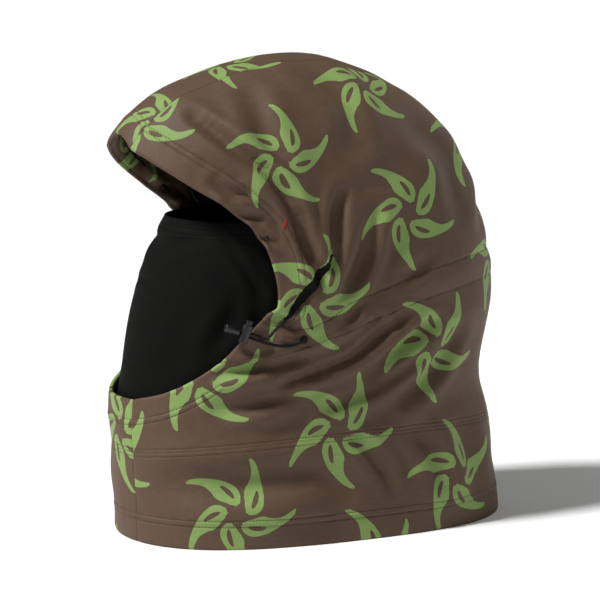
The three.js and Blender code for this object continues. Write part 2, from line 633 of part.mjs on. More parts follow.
fitting("lock_button", cut(turned([[0, stemFoot], [stem, stemFoot], [stem, headBottom],
  [LOCK_RADIUS - 0.6, headBottom], [LOCK_RADIUS - 0.6, headTop - 0.4],
  [LOCK_RADIUS - 1, headTop], [0, headTop]], 28),
slotCut(-SLOT / 2, SLOT / 2 + BUTTON_TRAVEL)), "plastic", lockFrame);
fitting("lock_spring", turned([[bore - 1.3, floor + 0.2], [bore - 0.4, floor + 0.2],
  [bore - 0.4, stemFoot - 0.2], [bore - 1.3, stemFoot - 0.2], [bore - 1.3, floor + 0.2]], 16),
"steel", lockFrame);
const alongCord = new THREE.Matrix4().makeBasis(v3(0, 0, -1), v3(0, 1, 0), v3(1, 0, 0));
fitting("cord_end", turned([[0, END_START], [END_RADIUS - 0.9, END_START],
  [END_RADIUS - 0.7, END_START + 3], [END_RADIUS, END_START + END_LENGTH - 1.2],
  [END_RADIUS - 0.6, END_START + END_LENGTH], [0, END_START + END_LENGTH]], 20), "plastic",
lockFrame.clone().multiply(alongCord));

// The origin goes to the middle of the box round the body, at the height of the hem.
const BODY_PIECES = /^(?!rear_strand|front_strand|lock_|cord_end)/;
const box = new THREE.Box3();
for (const mesh of root.children) {
  if (BODY_PIECES.test(mesh.name)) box.expandByObject(mesh);
}
const middle = box.getCenter(v3(0, 0, 0));
for (const mesh of root.children) mesh.position.set(0, -middle.y, -box.min.z);

export default root;
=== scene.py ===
# %% [markdown]
# # A snowboard balaclava
# The hood is a crown strip between two side panels of bonded knit. It has a drawcord channel
# round the back of the head, a tall neck gaiter and a stretch mask that pulls down. The CAD model
# is loaded first as a fixed frame. Every piece made here lies in the space of a CAD part, in
# metres.

# %% Load the frame
import json
import math

import bmesh
import bpy
import numpy as np
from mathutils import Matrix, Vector

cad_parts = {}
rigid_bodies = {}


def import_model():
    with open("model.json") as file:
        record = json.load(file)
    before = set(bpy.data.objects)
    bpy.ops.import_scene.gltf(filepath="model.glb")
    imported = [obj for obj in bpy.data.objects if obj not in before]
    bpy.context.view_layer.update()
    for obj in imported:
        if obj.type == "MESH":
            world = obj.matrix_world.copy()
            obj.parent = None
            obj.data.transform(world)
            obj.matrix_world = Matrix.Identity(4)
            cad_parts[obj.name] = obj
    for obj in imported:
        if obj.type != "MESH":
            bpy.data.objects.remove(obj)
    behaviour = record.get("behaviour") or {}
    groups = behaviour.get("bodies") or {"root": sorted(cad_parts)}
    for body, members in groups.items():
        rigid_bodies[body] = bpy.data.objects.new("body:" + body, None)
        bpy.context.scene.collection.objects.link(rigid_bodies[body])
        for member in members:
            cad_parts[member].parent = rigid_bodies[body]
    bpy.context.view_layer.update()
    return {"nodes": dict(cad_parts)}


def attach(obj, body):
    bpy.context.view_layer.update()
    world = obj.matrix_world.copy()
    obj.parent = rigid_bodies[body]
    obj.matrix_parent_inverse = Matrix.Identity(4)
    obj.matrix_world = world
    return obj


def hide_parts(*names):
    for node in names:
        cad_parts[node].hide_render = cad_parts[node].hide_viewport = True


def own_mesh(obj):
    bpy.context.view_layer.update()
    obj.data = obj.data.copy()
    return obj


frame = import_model()
MM = 0.001
SIDES = (("left", 1), ("right", -1))

# %% [markdown]
# ## Camera
# The hood is seen from its left side, turned a little to the front, with a long lens that keeps
# the cheek, the crown and the hem at one scale. The lens follows from how wide the view is where
# the hood stands.

# %% Camera
AZIMUTH, ELEVATION = math.radians(65), math.radians(8)
DISTANCE = 1.9
VIEW_WIDTH = 0.490
SENSOR = 36  # mm
NEAR_SIDE = 0.05  # the cloth that faces the camera is this much nearer than the middle
right = Vector((math.cos(AZIMUTH), math.sin(AZIMUTH), 0))
back = Vector((math.sin(AZIMUTH) * math.cos(ELEVATION),
               -math.cos(AZIMUTH) * math.cos(ELEVATION), math.sin(ELEVATION)))
up = back.cross(right)
look_at = right * -0.0058 + up * 0.1803

camera = bpy.data.objects.new("camera", bpy.data.cameras.new("camera"))
camera.data.sensor_width = SENSOR
camera.data.lens = SENSOR * (DISTANCE - NEAR_SIDE) / VIEW_WIDTH
camera.location = look_at + back * DISTANCE
camera.rotation_euler = back.to_track_quat("Z", "Y").to_euler()
bpy.context.collection.objects.link(camera)
bpy.context.scene.camera = camera
print("lens", round(camera.data.lens, 1), "mm")

# %% [markdown]
# ## Light and floor
# A white room: a pale floor that runs out of sight, a soft key light high on the left, an edge
# light behind, and a weak fill so that the black cloth keeps its folds. The sky gives little
# light, because light from all round would flatten the folds, but it is white to look at.

# %% Light and floor
def area_light(name, place, aim, size, power):
    light = bpy.data.objects.new(name, bpy.data.lights.new(name, "AREA"))
    light.data.shape, light.data.size, light.data.energy = "DISK", size, power
    light.location = place
    light.rotation_euler = (Vector(place) - Vector(aim)).to_track_quat("Z", "Y").to_euler()
    bpy.context.collection.objects.link(light)


def sun(name, way, softness, power):
    """A light as from a far window; way points from the hood towards it."""
    light = bpy.data.objects.new(name, bpy.data.lights.new(name, "SUN"))
    light.data.angle, light.data.energy = math.radians(softness), power
    light.rotation_euler = way.to_track_quat("Z", "Y").to_euler()
    bpy.context.collection.objects.link(light)


MIDDLE = (0, 0, 0.2)
SKY_LIGHT = 0.09
FLOOR_RADIUS = 90
sun("key", right * -0.8 + back * 0.42 + Vector((0, 0, 1.0)), 10, 4.5)
area_light("edge light", tuple(right * 1.2 + back * -0.5 + Vector((0, 0, 0.9))), MIDDLE, 0.8, 5)
area_light("fill", tuple(right * 0.5 + back * 1.8 + Vector((0, 0, 0.5))), MIDDLE, 1.0, 0.4)

world = bpy.data.worlds.new("white room")
world.use_nodes = True
world.node_tree.nodes["Background"].inputs["Color"].default_value = (1, 1, 1, 1)
room_nodes, room_links = world.node_tree.nodes, world.node_tree.links
rays = room_nodes.new("ShaderNodeLightPath")
level = room_nodes.new("ShaderNodeMath")  # dim as a light, white where the camera sees it
level.operation = "MULTIPLY_ADD"
level.inputs[1].default_value, level.inputs[2].default_value = 1 - SKY_LIGHT, SKY_LIGHT
room_links.new(rays.outputs["Is Camera Ray"], level.inputs[0])
room_links.new(level.outputs[0], room_nodes["Background"].inputs["Strength"])
bpy.context.scene.world = world
bpy.context.scene.view_settings.view_transform = "Standard"

floor = bpy.data.objects.new("floor", bpy.data.meshes.new("floor"))
ring = bmesh.new()
bmesh.ops.create_circle(ring, cap_ends=True, segments=96, radius=FLOOR_RADIUS)
ring.to_mesh(floor.data)
ring.free()
bpy.context.collection.objects.link(floor)
print("a floor, three lights and a white sky")

# %% [markdown]
# ## Meshes from points
# Everything below is made from numbers, so one helper turns points and faces into an object with
# smooth shading and, where the cloth is printed, a flat pattern map in metres.

# %% Mesh helper
def make_mesh(name, points, faces, flat=None):
    mesh = bpy.data.meshes.new(name)
    mesh.from_pydata(np.asarray(points, float).tolist(), [], [tuple(f) for f in faces])
    mesh.polygons.foreach_set("use_smooth", [True] * len(mesh.polygons))
    if flat is not None:
        layer = mesh.uv_layers.new(name="flat")
        at = np.zeros(len(mesh.loops), int)
        mesh.loops.foreach_get("vertex_index", at)
        layer.data.foreach_set("uv", np.asarray(flat, float)[at].ravel())
    obj = bpy.data.objects.new(name, mesh)
    bpy.context.collection.objects.link(obj)
    return obj


def unit(v):
    return v / np.maximum(np.linalg.norm(v, axis=-1, keepdims=True), 1e-12)


print("meshes are made from points and faces")


# %% [markdown]
# ## Drawcords
# Two strands of braided elastic leave the hood on each cheek, one from the eyelet in the channel
# and one from under the face hem. They run together through the cord lock and end in a bell.
# Their points are the same as the CAD route. A round braid is a tube whose skin rises where a
# bundle of threads lies on top, and two sets of bundles cross each other.

# %% Cord routes
CORD = 2.4 * MM
PITCH = 3.2 * MM
LOCK_FOOT = np.array([87.21, -93.98, 172.0]) * MM
CORD_WAY = np.array([-0.21242, -0.91537, 0.34202])
BARREL_WAY = np.array([0.07731, 0.33317, 0.93969])
ROUTES = {
    "rear_strand": (-1, [[89.61, -44.58, 164.5], [91.75, -45.18, 164.4], [93.02, -48.08, 163.4],
                         [92.87, -52.08, 162.3], [92.88, -57.88, 161.2], [92.41, -64.38, 161.2],
                         [91.81, -70.78, 162.3]]),
    "front_strand": (1, [[89.74, -60.08, 181.6], [91.99, -61.88, 181.0], [93.08, -66.08, 178.5],
                         [92.92, -70.88, 174.5]]),
}


def smooth_path(points, count):
    """A smooth curve through the points, as evenly spaced points."""
    p = np.vstack([2 * points[0] - points[1], points, 2 * points[-1] - points[-2]])
    out = []
    for k in range(1, len(p) - 2):
        a, b, c, d = p[k - 1:k + 3]
        g0, g1, g2 = (max(np.linalg.norm(y - x), 1e-9) ** 0.5 for x, y in ((a, b), (b, c), (c, d)))
        m1 = ((b - a) / g0 - (c - a) / (g0 + g1) + (c - b) / g1) * g1
        m2 = ((c - b) / g1 - (d - b) / (g1 + g2) + (d - c) / g2) * g1
        t = np.linspace(0, 1, 60)[:, None]
        out.append((2 * t**3 - 3 * t**2 + 1) * b + (t**3 - 2 * t**2 + t) * m1
                   + (3 * t**2 - 2 * t**3) * c + (t**3 - t**2) * m2)
    fine = np.vstack(out)
    run = np.r_[0, np.cumsum(np.linalg.norm(np.diff(fine, axis=0), axis=1))]
    want = np.linspace(0, run[-1], count)
    return np.stack([np.interp(want, run, fine[:, k]) for k in range(fine.shape[1])], 1), run[-1]


# %% Braided tube
BUNDLES, BRAID_PITCH, BRAID_RISE, AROUND = 8, 7.0 * MM, 0.13 * MM, 24


def braided_tube(name, path, radius):
    tangent = unit(np.gradient(path, axis=0))
    side = unit(np.cross(tangent, [0.2, 0.1, 1.0]))
    other = np.cross(tangent, side)
    run = np.r_[0, np.cumsum(np.linalg.norm(np.diff(path, axis=0), axis=1))]
    turn = np.linspace(0, 2 * math.pi, AROUND, endpoint=False)
    twist = 2 * math.pi * run[:, None] / BRAID_PITCH
    one = np.cos(BUNDLES * turn / 2 + 4 * twist)
    two = np.cos(BUNDLES * turn / 2 - 4 * twist)
    r = radius - BRAID_RISE + BRAID_RISE * np.maximum(one, two)
    r[[0, -1]] *= 0.6
    points = path[:, None] + r[..., None] * (
        np.cos(turn)[None, :, None] * side[:, None] + np.sin(turn)[None, :, None] * other[:, None])
    rows = len(path)
    faces = [(i * AROUND + j, i * AROUND + (j + 1) % AROUND,
              (i + 1) * AROUND + (j + 1) % AROUND, (i + 1) * AROUND + j)
             for i in range(rows - 1) for j in range(AROUND)]
    faces += [tuple(reversed(range(AROUND))), tuple(range((rows - 1) * AROUND, rows * AROUND))]
    return make_mesh(name, points.reshape(-1, 3), faces)


cords = []
for strand, (rank, points) in ROUTES.items():
    straight = [LOCK_FOOT + CORD_WAY * s * MM + BARREL_WAY * rank * PITCH / 2
                for s in (-17, -8.5, 0, 4.7)]
    way = np.vstack([np.array(points) * MM, straight])
    for side, sign in SIDES:
        route = way * [sign, 1, 1]
        path, length = smooth_path(route, 200)
        piece = braided_tube(f"{strand}_{side}_braid", path, CORD / 2)
        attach(piece, "hood")
        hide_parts(f"{strand}_{side}")
        others = [f"cord_end_{side}"]
        if strand == "rear_strand":
            others += [f"lock_body_{side}", f"lock_button_{side}", f"spring_coil_{side}"]
        cords.append((piece, path, length, others, route[0]))
        print(piece.name, round(length * 1000, 1), "mm long")

# %% [markdown]
# ## Springs in the cord locks
# A spring sits in each barrel under its button. The CAD shape is right but can't shorten, and a
# copy of it stands in, carried with the lock.

# %% Lock springs
springs = {}
for side, sign in SIDES:
    node = frame["nodes"][f"lock_spring_{side}"]
    coil = bpy.data.objects.new(f"spring_coil_{side}", node.data.copy())
    bpy.context.scene.collection.objects.link(coil)
    press = -BARREL_WAY * [sign, 1, 1]
    spots = np.array([v.co for v in coil.data.vertices], float)
    deep = spots @ press
    foot = spots[deep.argmax()]
    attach(coil, f"lock_{side}")
    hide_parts(f"lock_spring_{side}")
    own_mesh(coil)
    springs[side] = coil
    print(coil.name, round(float(np.ptp(deep)) * 1000, 2), "mm long")

for piece, path, length, others, start in cords:
    [tuple(p) for p in path[::5]] + [tuple(path[-1])]
print(len(cords), "cords declared")

# %% [markdown]
# ## The body's surface
# The CAD body is a closed form: a round hood about an axis from ear to ear, on a neck that is an
# oval at every height. The same form is written here with arrays, in millimetres, so the fine
# cloth lies exactly where the CAD panels are.

# %% Smooth tables
def smooth_table(*pairs):
    x, v = np.array(pairs, float).T
    last = len(x) - 1
    slope = np.array([(v[min(i + 1, last)] - v[max(i - 1, 0)])
                      / (x[min(i + 1, last)] - x[max(i - 1, 0)]) for i in range(last + 1)])

    def value(s):
        s = np.asarray(s, float)
        i = np.clip(np.searchsorted(x, s) - 1, 0, last - 1)
        h = x[i + 1] - x[i]
        t = np.clip((s - x[i]) / h, 0, 1)
        return ((2 * t**3 - 3 * t**2 + 1) * v[i] + (t**3 - 2 * t**2 + t) * h * slope[i]
                + (3 * t**2 - 2 * t**3) * v[i + 1] + (t**3 - t**2) * h * slope[i + 1])
    return value


EAR, HALF_WIDTH, CROWN, FULLNESS, NECK_STEP = 180, 92, 205, 0.28, 150
FORWARD = 2.5167  # the CAD's ear axis lies this far behind the middle of the box, in mm
hood_shape = smooth_table((0, .78), (25, .812), (43, .862), (55, .9), (67, .937), (90, .998),
                          (113, 1.036), (139, 1.09), (160, .98), (180, .825))


def hood_reach(angle):
    return CROWN * hood_shape(np.degrees(angle))


neck_side = smooth_table((0, 98), (115, 88), (EAR, HALF_WIDTH))
neck_back = smooth_table((0, 168), (80, 159), (113, 150), (EAR, hood_reach(0)))
neck_front = smooth_table((0, 168), (115, 173), (EAR, hood_reach(math.pi)))
share_angles = np.linspace(0, math.pi / 2, 2001)


def side_share(off):
    return np.cos(off) * (1 + FULLNESS * np.sin(off) ** 2)


def off_for(share):
    """The angle off the ear's axis where the body is this share of its width."""
    fall = side_share(share_angles)
    top = int(np.argmax(fall))
    return np.interp(-np.asarray(share, float), -fall[top:], share_angles[top:])


print("crown at", round(float(EAR + hood_reach(math.pi / 2)), 1), "mm")


# %% The body as points
def body(a, b):
    """Points for chart places: above the ear the chart is the angle off its axis, turned to the
    direction; below it, a is the angle round the neck and b the way down."""
    off, angle = np.hypot(a, b), np.arctan2(b, a)
    r = hood_reach(angle) * np.sin(off)
    hood = np.stack([HALF_WIDTH * side_share(off), r * np.cos(angle), EAR + r * np.sin(angle)], -1)
    z = EAR + NECK_STEP * b
    reach = np.where(a > 0, neck_back(z), neck_front(z))
    neck = np.stack([neck_side(z) * side_share(a), reach * np.sin(a), z], -1)
    return np.where((b < 0)[..., None], neck, hood)


def chart(points):
    """Chart places for (y, z) points."""
    y, z = np.array(points, float).T
    reach = np.where(y > 0, neck_back(z), neck_front(z))
    angle, r = np.arctan2(z - EAR, y), np.hypot(y, z - EAR)
    off = np.arcsin(np.clip(r / hood_reach(angle), 0, 1))
    low = z < EAR
    return np.stack([np.where(low, np.arcsin(np.clip(y / reach, -1, 1)), off * np.cos(angle)),
                     np.where(low, (z - EAR) / NECK_STEP, off * np.sin(angle))], 1)


def outsideness(p):
    x, y, z = np.moveaxis(p, -1, 0)
    up, reach = z - EAR, np.where(y > 0, neck_back(z), neck_front(z))
    q = np.where(up < 0, y / reach, np.hypot(y, up) / hood_reach(np.arctan2(up, y)))
    width = np.where(up < 0, neck_side(z), HALF_WIDTH) * (1 + FULLNESS * q * q)
    return (x / width) ** 2 + q * q


def normals(p):
    return unit(np.stack([outsideness(p + s) - outsideness(p - s) for s in np.eye(3) * 0.5], -1))


print("ear at", body(np.array(0.0), np.array(0.0)))

# %% [markdown]
# ## Seams
# Each panel is cut along seams, and a seam is a smooth line on the chart. The same pattern points
# as in the CAD model give the same seams.

# %% Seam lines
FINE = 30  # points in a seam for each step of the CAD grid
ALONG, BACK_STEPS, RISE, RIM = 16, 8, 8, 5
CROWN_FRONT, CROWN_BACK, STRIP = 28, 20, 26


def seam(places, steps):
    line, _ = smooth_path(np.array(places, float), 400)
    at = body(line[:, 0], line[:, 1])
    run = np.r_[0, np.cumsum(np.linalg.norm(np.diff(at, axis=0), axis=1))]
    want = np.linspace(0, run[-1], steps * FINE + 1)
    return np.stack([np.interp(want, run, line[:, k]) for k in (0, 1)], 1)


def along(line, t):
    """Places at shares t of a line."""
    s = np.asarray(t, float) * (len(line) - 1)
    at = np.arange(len(line))
    return np.stack([np.interp(s, at, line[:, k]) for k in (0, 1)], -1)


def crown_angle(t):
    i = np.asarray(t, float) * (ALONG + BACK_STEPS)
    return np.radians(np.where(i < ALONG, 141.5 + (60 - 141.5) * i / ALONG,
                               60 + (15.5 - 60) * (i - ALONG) / BACK_STEPS))


def crown_half(t):
    return CROWN_FRONT + (CROWN_BACK - CROWN_FRONT) * np.asarray(t, float) ** 2


def beside_crown(angle, x):
    off = off_for(x / HALF_WIDTH)
    return np.stack([off * np.cos(angle), off * np.sin(angle)], -1)


def beside_neck(z, x, side):
    return np.array([side * off_for(x / neck_side(z)), (z - EAR) / NECK_STEP])


crown_t = np.linspace(0, 1, (ALONG + BACK_STEPS) * FINE + 1)
crown_seam = beside_crown(crown_angle(crown_t), crown_half(crown_t))
channel_front = chart([(-82, 181)])[0]
face_edge = seam([crown_seam[0], *chart([(-153, 301), (-137, 289), (-105, 267), (-87, 251),
                                         (-75, 230), (-69.5, 208), (-70, 193)]), channel_front],
                 RISE)
channel_top = seam([channel_front, *chart([(-64, 175.5), (-47, 173.5), (11, 198), (64, 213),
                                           (109, 222)]), crown_seam[-1]], ALONG)
half_back = beside_crown(crown_angle(1), np.linspace(CROWN_BACK, 0, 2 * FINE + 1)[1:])
channel_top = np.vstack([channel_top, half_back])
low_back = beside_crown(math.asin(23 / float(hood_reach(math.radians(8)))), 0.0)
channel_low = seam([*chart([(-112, 149), (-85, 150), (-54, 156), (-28, 163), (43, 186),
                            (108, 198), (146, 202)]), low_back], ALONG + 2)
channel_mouth = seam([channel_front, *chart([(-97, 164)]), channel_low[0]], 2)
rim_edge = seam([beside_neck(115.5, STRIP, -1), *chart([(-152, 123), (-137, 131), (-122, 141)]),
                 channel_low[0]], RIM)
neck_top = np.vstack([rim_edge, channel_low[1:]])


def neck_ring(height):
    edge = -float(off_for(STRIP / neck_side(height(-1.3))))
    a = np.linspace(edge, math.pi / 2, 9)
    return seam(np.stack([a, (height(a) - EAR) / NECK_STEP], 1), RIM + ALONG + 2)


def yoke_height(a):
    t = (a + math.pi / 2) / math.pi
    return 70 + 11 * t + 9 * np.sin(math.pi * t)


yoke = neck_ring(yoke_height)
hem_top = neck_ring(lambda a: 22 + 0 * a)
hem_edge = neck_ring(lambda a: 0 * a)
print("face edge", len(face_edge), "points, neck top", len(neck_top))

# %% [markdown]
# ## Panels as sheets
# A panel is a function from two shares to a point. Between its seams the lines run straight and
# only bend near the curved side seams. The grid lines then keep a true distance in millimetres
# from the two edges that carry stitching, so a row of stitches follows one grid line.

# %% Panel functions
def fill(top, bottom, left, right):
    def lay(u, v):
        u3, v3 = u[..., None], v[..., None]
        plain = (1 - v3) * along(top, u) + v3 * along(bottom, u)
        from_left = along(left, v) - (1 - v3) * top[0] - v3 * bottom[0]
        from_right = along(right, v) - (1 - v3) * top[-1] - v3 * bottom[-1]
        place = plain + (1 - u3) ** 3 * from_left + u3**3 * from_right
        return body(place[..., 0], place[..., 1])
    return lay


def straight_line(a, b):
    return np.linspace(a, b, 2 * FINE + 1)


def back_line(a, b):
    """Down the centre back, where the two halves meet: x is 0 all the way."""
    line = straight_line(a, b)
    line[:, 0] = np.sqrt((math.pi / 2) ** 2 - np.maximum(line[:, 1], 0) ** 2)
    return line


side_lay = fill(crown_seam[:ALONG * FINE + 1], channel_top[:ALONG * FINE + 1], face_edge,
                crown_seam[ALONG * FINE:])
channel_lay = fill(channel_top, channel_low, channel_mouth,
                   back_line(channel_top[-1], channel_low[-1]))
neck_lay = fill(neck_top, yoke, straight_line(neck_top[0], yoke[0]),
                back_line(neck_top[-1], yoke[-1]))


def gaiter_place(u, v):
    v3 = v[..., None]
    upper = along(yoke, u) + (along(hem_top, u) - along(yoke, u)) * v3 * 1.5
    lower = along(hem_top, u) + (along(hem_edge, u) - along(hem_top, u)) * (3 * v3 - 2)
    return np.where(v3 < 2 / 3, upper, lower)


def gaiter_lay(u, v):
    place = gaiter_place(u, v)
    return body(place[..., 0], place[..., 1])


def crown_lay(t, s):
    """t runs from the brim to the back, s from one side to the other."""
    side = 1 - 2 * s
    x = crown_half(t) * side
    brim = np.maximum(0, 1 - t * 4) * (1 - side**2) * math.radians(2.2)
    angle = crown_angle(t) - brim
    r = hood_reach(angle) * np.sin(off_for(np.abs(x) / HALF_WIDTH))
    return np.stack([x, r * np.cos(angle), EAR + r * np.sin(angle)], -1)


def front_lay(top, bottom):
    def lay(t, s):
        z, x = top + (bottom - top) * t, STRIP * (1 - 2 * s)
        return np.stack([x, -neck_front(z) * np.sin(off_for(np.abs(x) / neck_side(z))), z], -1)
    return lay


YOKE_FRONT = float(EAR + NECK_STEP * yoke[0][1])
print("yoke in front at", round(YOKE_FRONT, 1), "mm")

# %% [markdown]
# ## Folds of the worn cloth
# Worn cloth creases where it is pulled or crushed: along the face hem, at the cords and across
# the neck. Cloth simulation would shift the seams, so each crease is a line with a depth and a
# width, and the cloth sinks along it and rises beside it. Slow waves lie over the whole.

# %% Folds of the worn cloth
# Each crease: points (y, z) in mm on the side of the hood, depth and width in mm.
CREASES = (
    # along the face hem, from the brim to the cheek
    (((-121, 338), (-100, 318), (-77, 299), (-57, 272), (-49, 246), (-36, 218)), 2.6, 5.5),
    (((-50, 262), (-46, 240), (-35, 219), (-32, 203)), 1.9, 4.5),
    (((-87, 251), (-72, 243)), 1.6, 3.6),
    (((-116, 290), (-104, 281), (-92, 279)), 1.4, 4.0),
    (((-107, 272), (-97, 265), (-84, 262)), 1.4, 4.0),
    # the side of the hood
    (((-12, 278), (-18, 262), (-20, 240), (-25, 214)), 2.7, 5.5),
    (((16, 262), (11, 249), (6, 229), (-9, 202)), 2.2, 6.5),
    (((-74, 352), (-72, 322), (-57, 290)), 1.6, 9.0),
    (((-24, 378), (1, 348), (5, 316)), 1.5, 10.0),
    (((60, 330), (92, 298), (99, 262)), 1.8, 10.0),
    (((110, 334), (145, 292), (132, 248)), 1.4, 9.0),
    (((3, 192), (-13, 177)), 1.2, 5.0),
    (((40, 208), (66, 222)), 0.8, 6.0),
    # the corner where the cords come out
    (((-63, 181.5), (-42, 206), (-21, 230)), 1.3, 5.0),
    (((-80, 188), (-66, 178), (-50, 172)), 1.7, 4.5),
    (((-119, 139), (-92, 143), (-72, 152)), 1.5, 5.0),
    # folds that run up and back across the neck
    (((-110, 147), (-75, 143), (-60, 146), (-36, 149), (-16, 155), (20, 175)), 1.9, 5.0),
    (((-67, 132), (-30, 140), (-10, 146), (16, 162), (41, 178)), 2.6, 5.0),
    (((-8, 125), (15, 135), (42, 155), (69, 171)), 2.8, 5.5),
    (((-24, 108), (0, 116), (27, 129), (52, 143)), 2.0, 6.0),
    (((44, 112), (72, 132), (98, 160)), 1.9, 7.0),
    (((-112, 112), (-84, 117), (-56, 124)), 1.5, 7.0),
    # the gaiter
    (((-140, 55), (-106, 50), (-56, 56), (-14, 46)), 2.2, 12.0),
    (((-4, 82), (12, 66), (30, 44)), 1.6, 6.0),
    (((54, 84), (70, 64), (78, 38)), 1.7, 8.0),
    (((100, 78), (112, 56), (118, 34)), 1.4, 9.0),
)


def crease_lift(p, creases, samples, end, fading, ridge, away):
    """How far the cloth moves out (+) or in (-), in mm, at points p: a valley along each crease
    that fades at its ends, with a ridge beside it, away widths off."""
    y, z = p[..., 1], p[..., 2]
    out = np.zeros(y.shape)
    for points, depth, width in creases:
        line, _ = smooth_path(np.array(points, float), samples)
        gap = np.hypot(y[..., None] - line[:, 0], z[..., None] - line[:, 1])
        t = np.argmin(gap, -1) / (samples - 1)
        fade = np.sin(math.pi * np.clip(end + (1 - 2 * end) * t, 0, 1)) ** fading
        d = np.min(gap, -1) / width
        beside = ridge * np.exp(-((d - away) / (away / 2)) ** 2)
        out += depth * fade * (beside - np.exp(-d * d))
    return out


def eased(share):
    share = np.clip(share, 0, 1)
    return share * share * (3 - 2 * share)


MIDDLE_STRIP = 45  # creases die out towards the middle of the hood, from this far out, in mm


def crease_field(p):
    lift = crease_lift(p, CREASES, 26, 0.08, 0.8, 0.75, 1.9)
    return lift * eased(np.abs(p[..., 0]) / MIDDLE_STRIP)


def swell_field(p):
    """Slow waves of cloth that isn't pulled tight, different on the two sides."""
    x, y, z = p[..., 0], p[..., 1], p[..., 2]
    one = np.sin(y / 23 + 1.7 * np.sin(z / 31 + x / 60)) * np.cos(z / 27 + 0.6 + x / 90)
    two = np.sin(y / 11.5 - z / 17 + 2.1) * np.sin(z / 13 + 0.4 * np.sin(y / 19))
    return 1.5 * one + 0.8 * two


LOCK_TRACK = np.array([(-96.5, 172.0), (-84.5, 168.0)])  # (y, z) of a lock, from open to drawn in
LOCK_REACH, LOCK_EASE = 19, 7  # the cloth lies low this near to the track, after an easing, in mm


def lock_room(p):
    """1 where a cord lock slides over the cloth, 0 away from it."""
    way = LOCK_TRACK[1] - LOCK_TRACK[0]
    at = p[..., 1:] - LOCK_TRACK[0]
    t = np.clip((at @ way) / (way @ way), 0, 1)
    gap = np.linalg.norm(at - t[..., None] * way, axis=-1)
    return eased((LOCK_REACH - gap) / LOCK_EASE) * (np.abs(p[..., 0]) > 60)


DEEPEST, STEEPNESS, RIGHT_SIDE = 5.4, 2.9, 0.85


def folds(p):
    """Creases and waves together. Creases that cross don't add up past the deepest, and under a
    sliding cord lock no fold stands out."""
    mirror = np.where(p[..., 0] >= 0, 1.0, RIGHT_SIDE)
    crease = DEEPEST * np.tanh(STEEPNESS * crease_field(p) / DEEPEST)
    out = crease * mirror + swell_field(p) * np.clip(np.abs(p[..., 0]) / 20 + 0.3, 0, 1)
    return out - np.maximum(out + 0.3, 0) * lock_room(p)


print(len(CREASES), "creases")

# %% [markdown]
# ## How cloth is built
# The grid of a panel keeps true distances from its stitched edges. Each panel is one closed skin:
# the outside of the cloth, the inside of it, and a rounded lip all round between the two. Where
# an edge is turned in, the cloth is twice as thick as far as the stitching, because the turned
# leaf lies inside. The outside sinks a little at each seam and along each row of stitches, and
# stands proud between two rows.

# %% Grid lines at true distances
TOUCH = 0.35  # how far each lip presses into the next one along a seam, in mm


def spaced_lines(lay, start, end, step, v):
    """Shares u (lines by columns) so that the first and last lines keep their distances."""
    fine = np.linspace(0, 1, 201)
    u, w = np.meshgrid(fine, v, indexing="ij")
    run = np.cumsum(np.linalg.norm(np.diff(lay(u, w), axis=0), axis=-1), axis=0)
    run = np.vstack([np.zeros((1, len(v))), run])
    total = run[-1]
    middle = max(int(round((total.mean() - np.mean(start[-1]) - end[-1]) / step)), 2)
    inner = np.linspace(0, 1, middle + 1)[1:-1]
    rows = [d + 0 * total for d in start]
    rows += [start[-1] + t * (total - start[-1] - end[-1]) for t in inner]
    rows += [total - d for d in reversed(end)]
    d = np.array(rows)
    return np.stack([np.interp(d[:, j], run[:, j], fine) for j in range(len(v))], 1), d, total


def side_shares(length, step, edge=(0.65, 1.1, 1.8, 3.2)):
    middle = max(int(round((length - 2 * edge[-1]) / step)), 2)
    inner = np.linspace(edge[-1], length - edge[-1], middle + 1)[1:-1]
    return np.r_[edge, inner, length - np.array(edge[::-1])] / length


print(len(side_shares(235, 3.0)), "grid lines across a side panel")

# %% A closed skin with a rounded lip
LIP_STEPS = 4


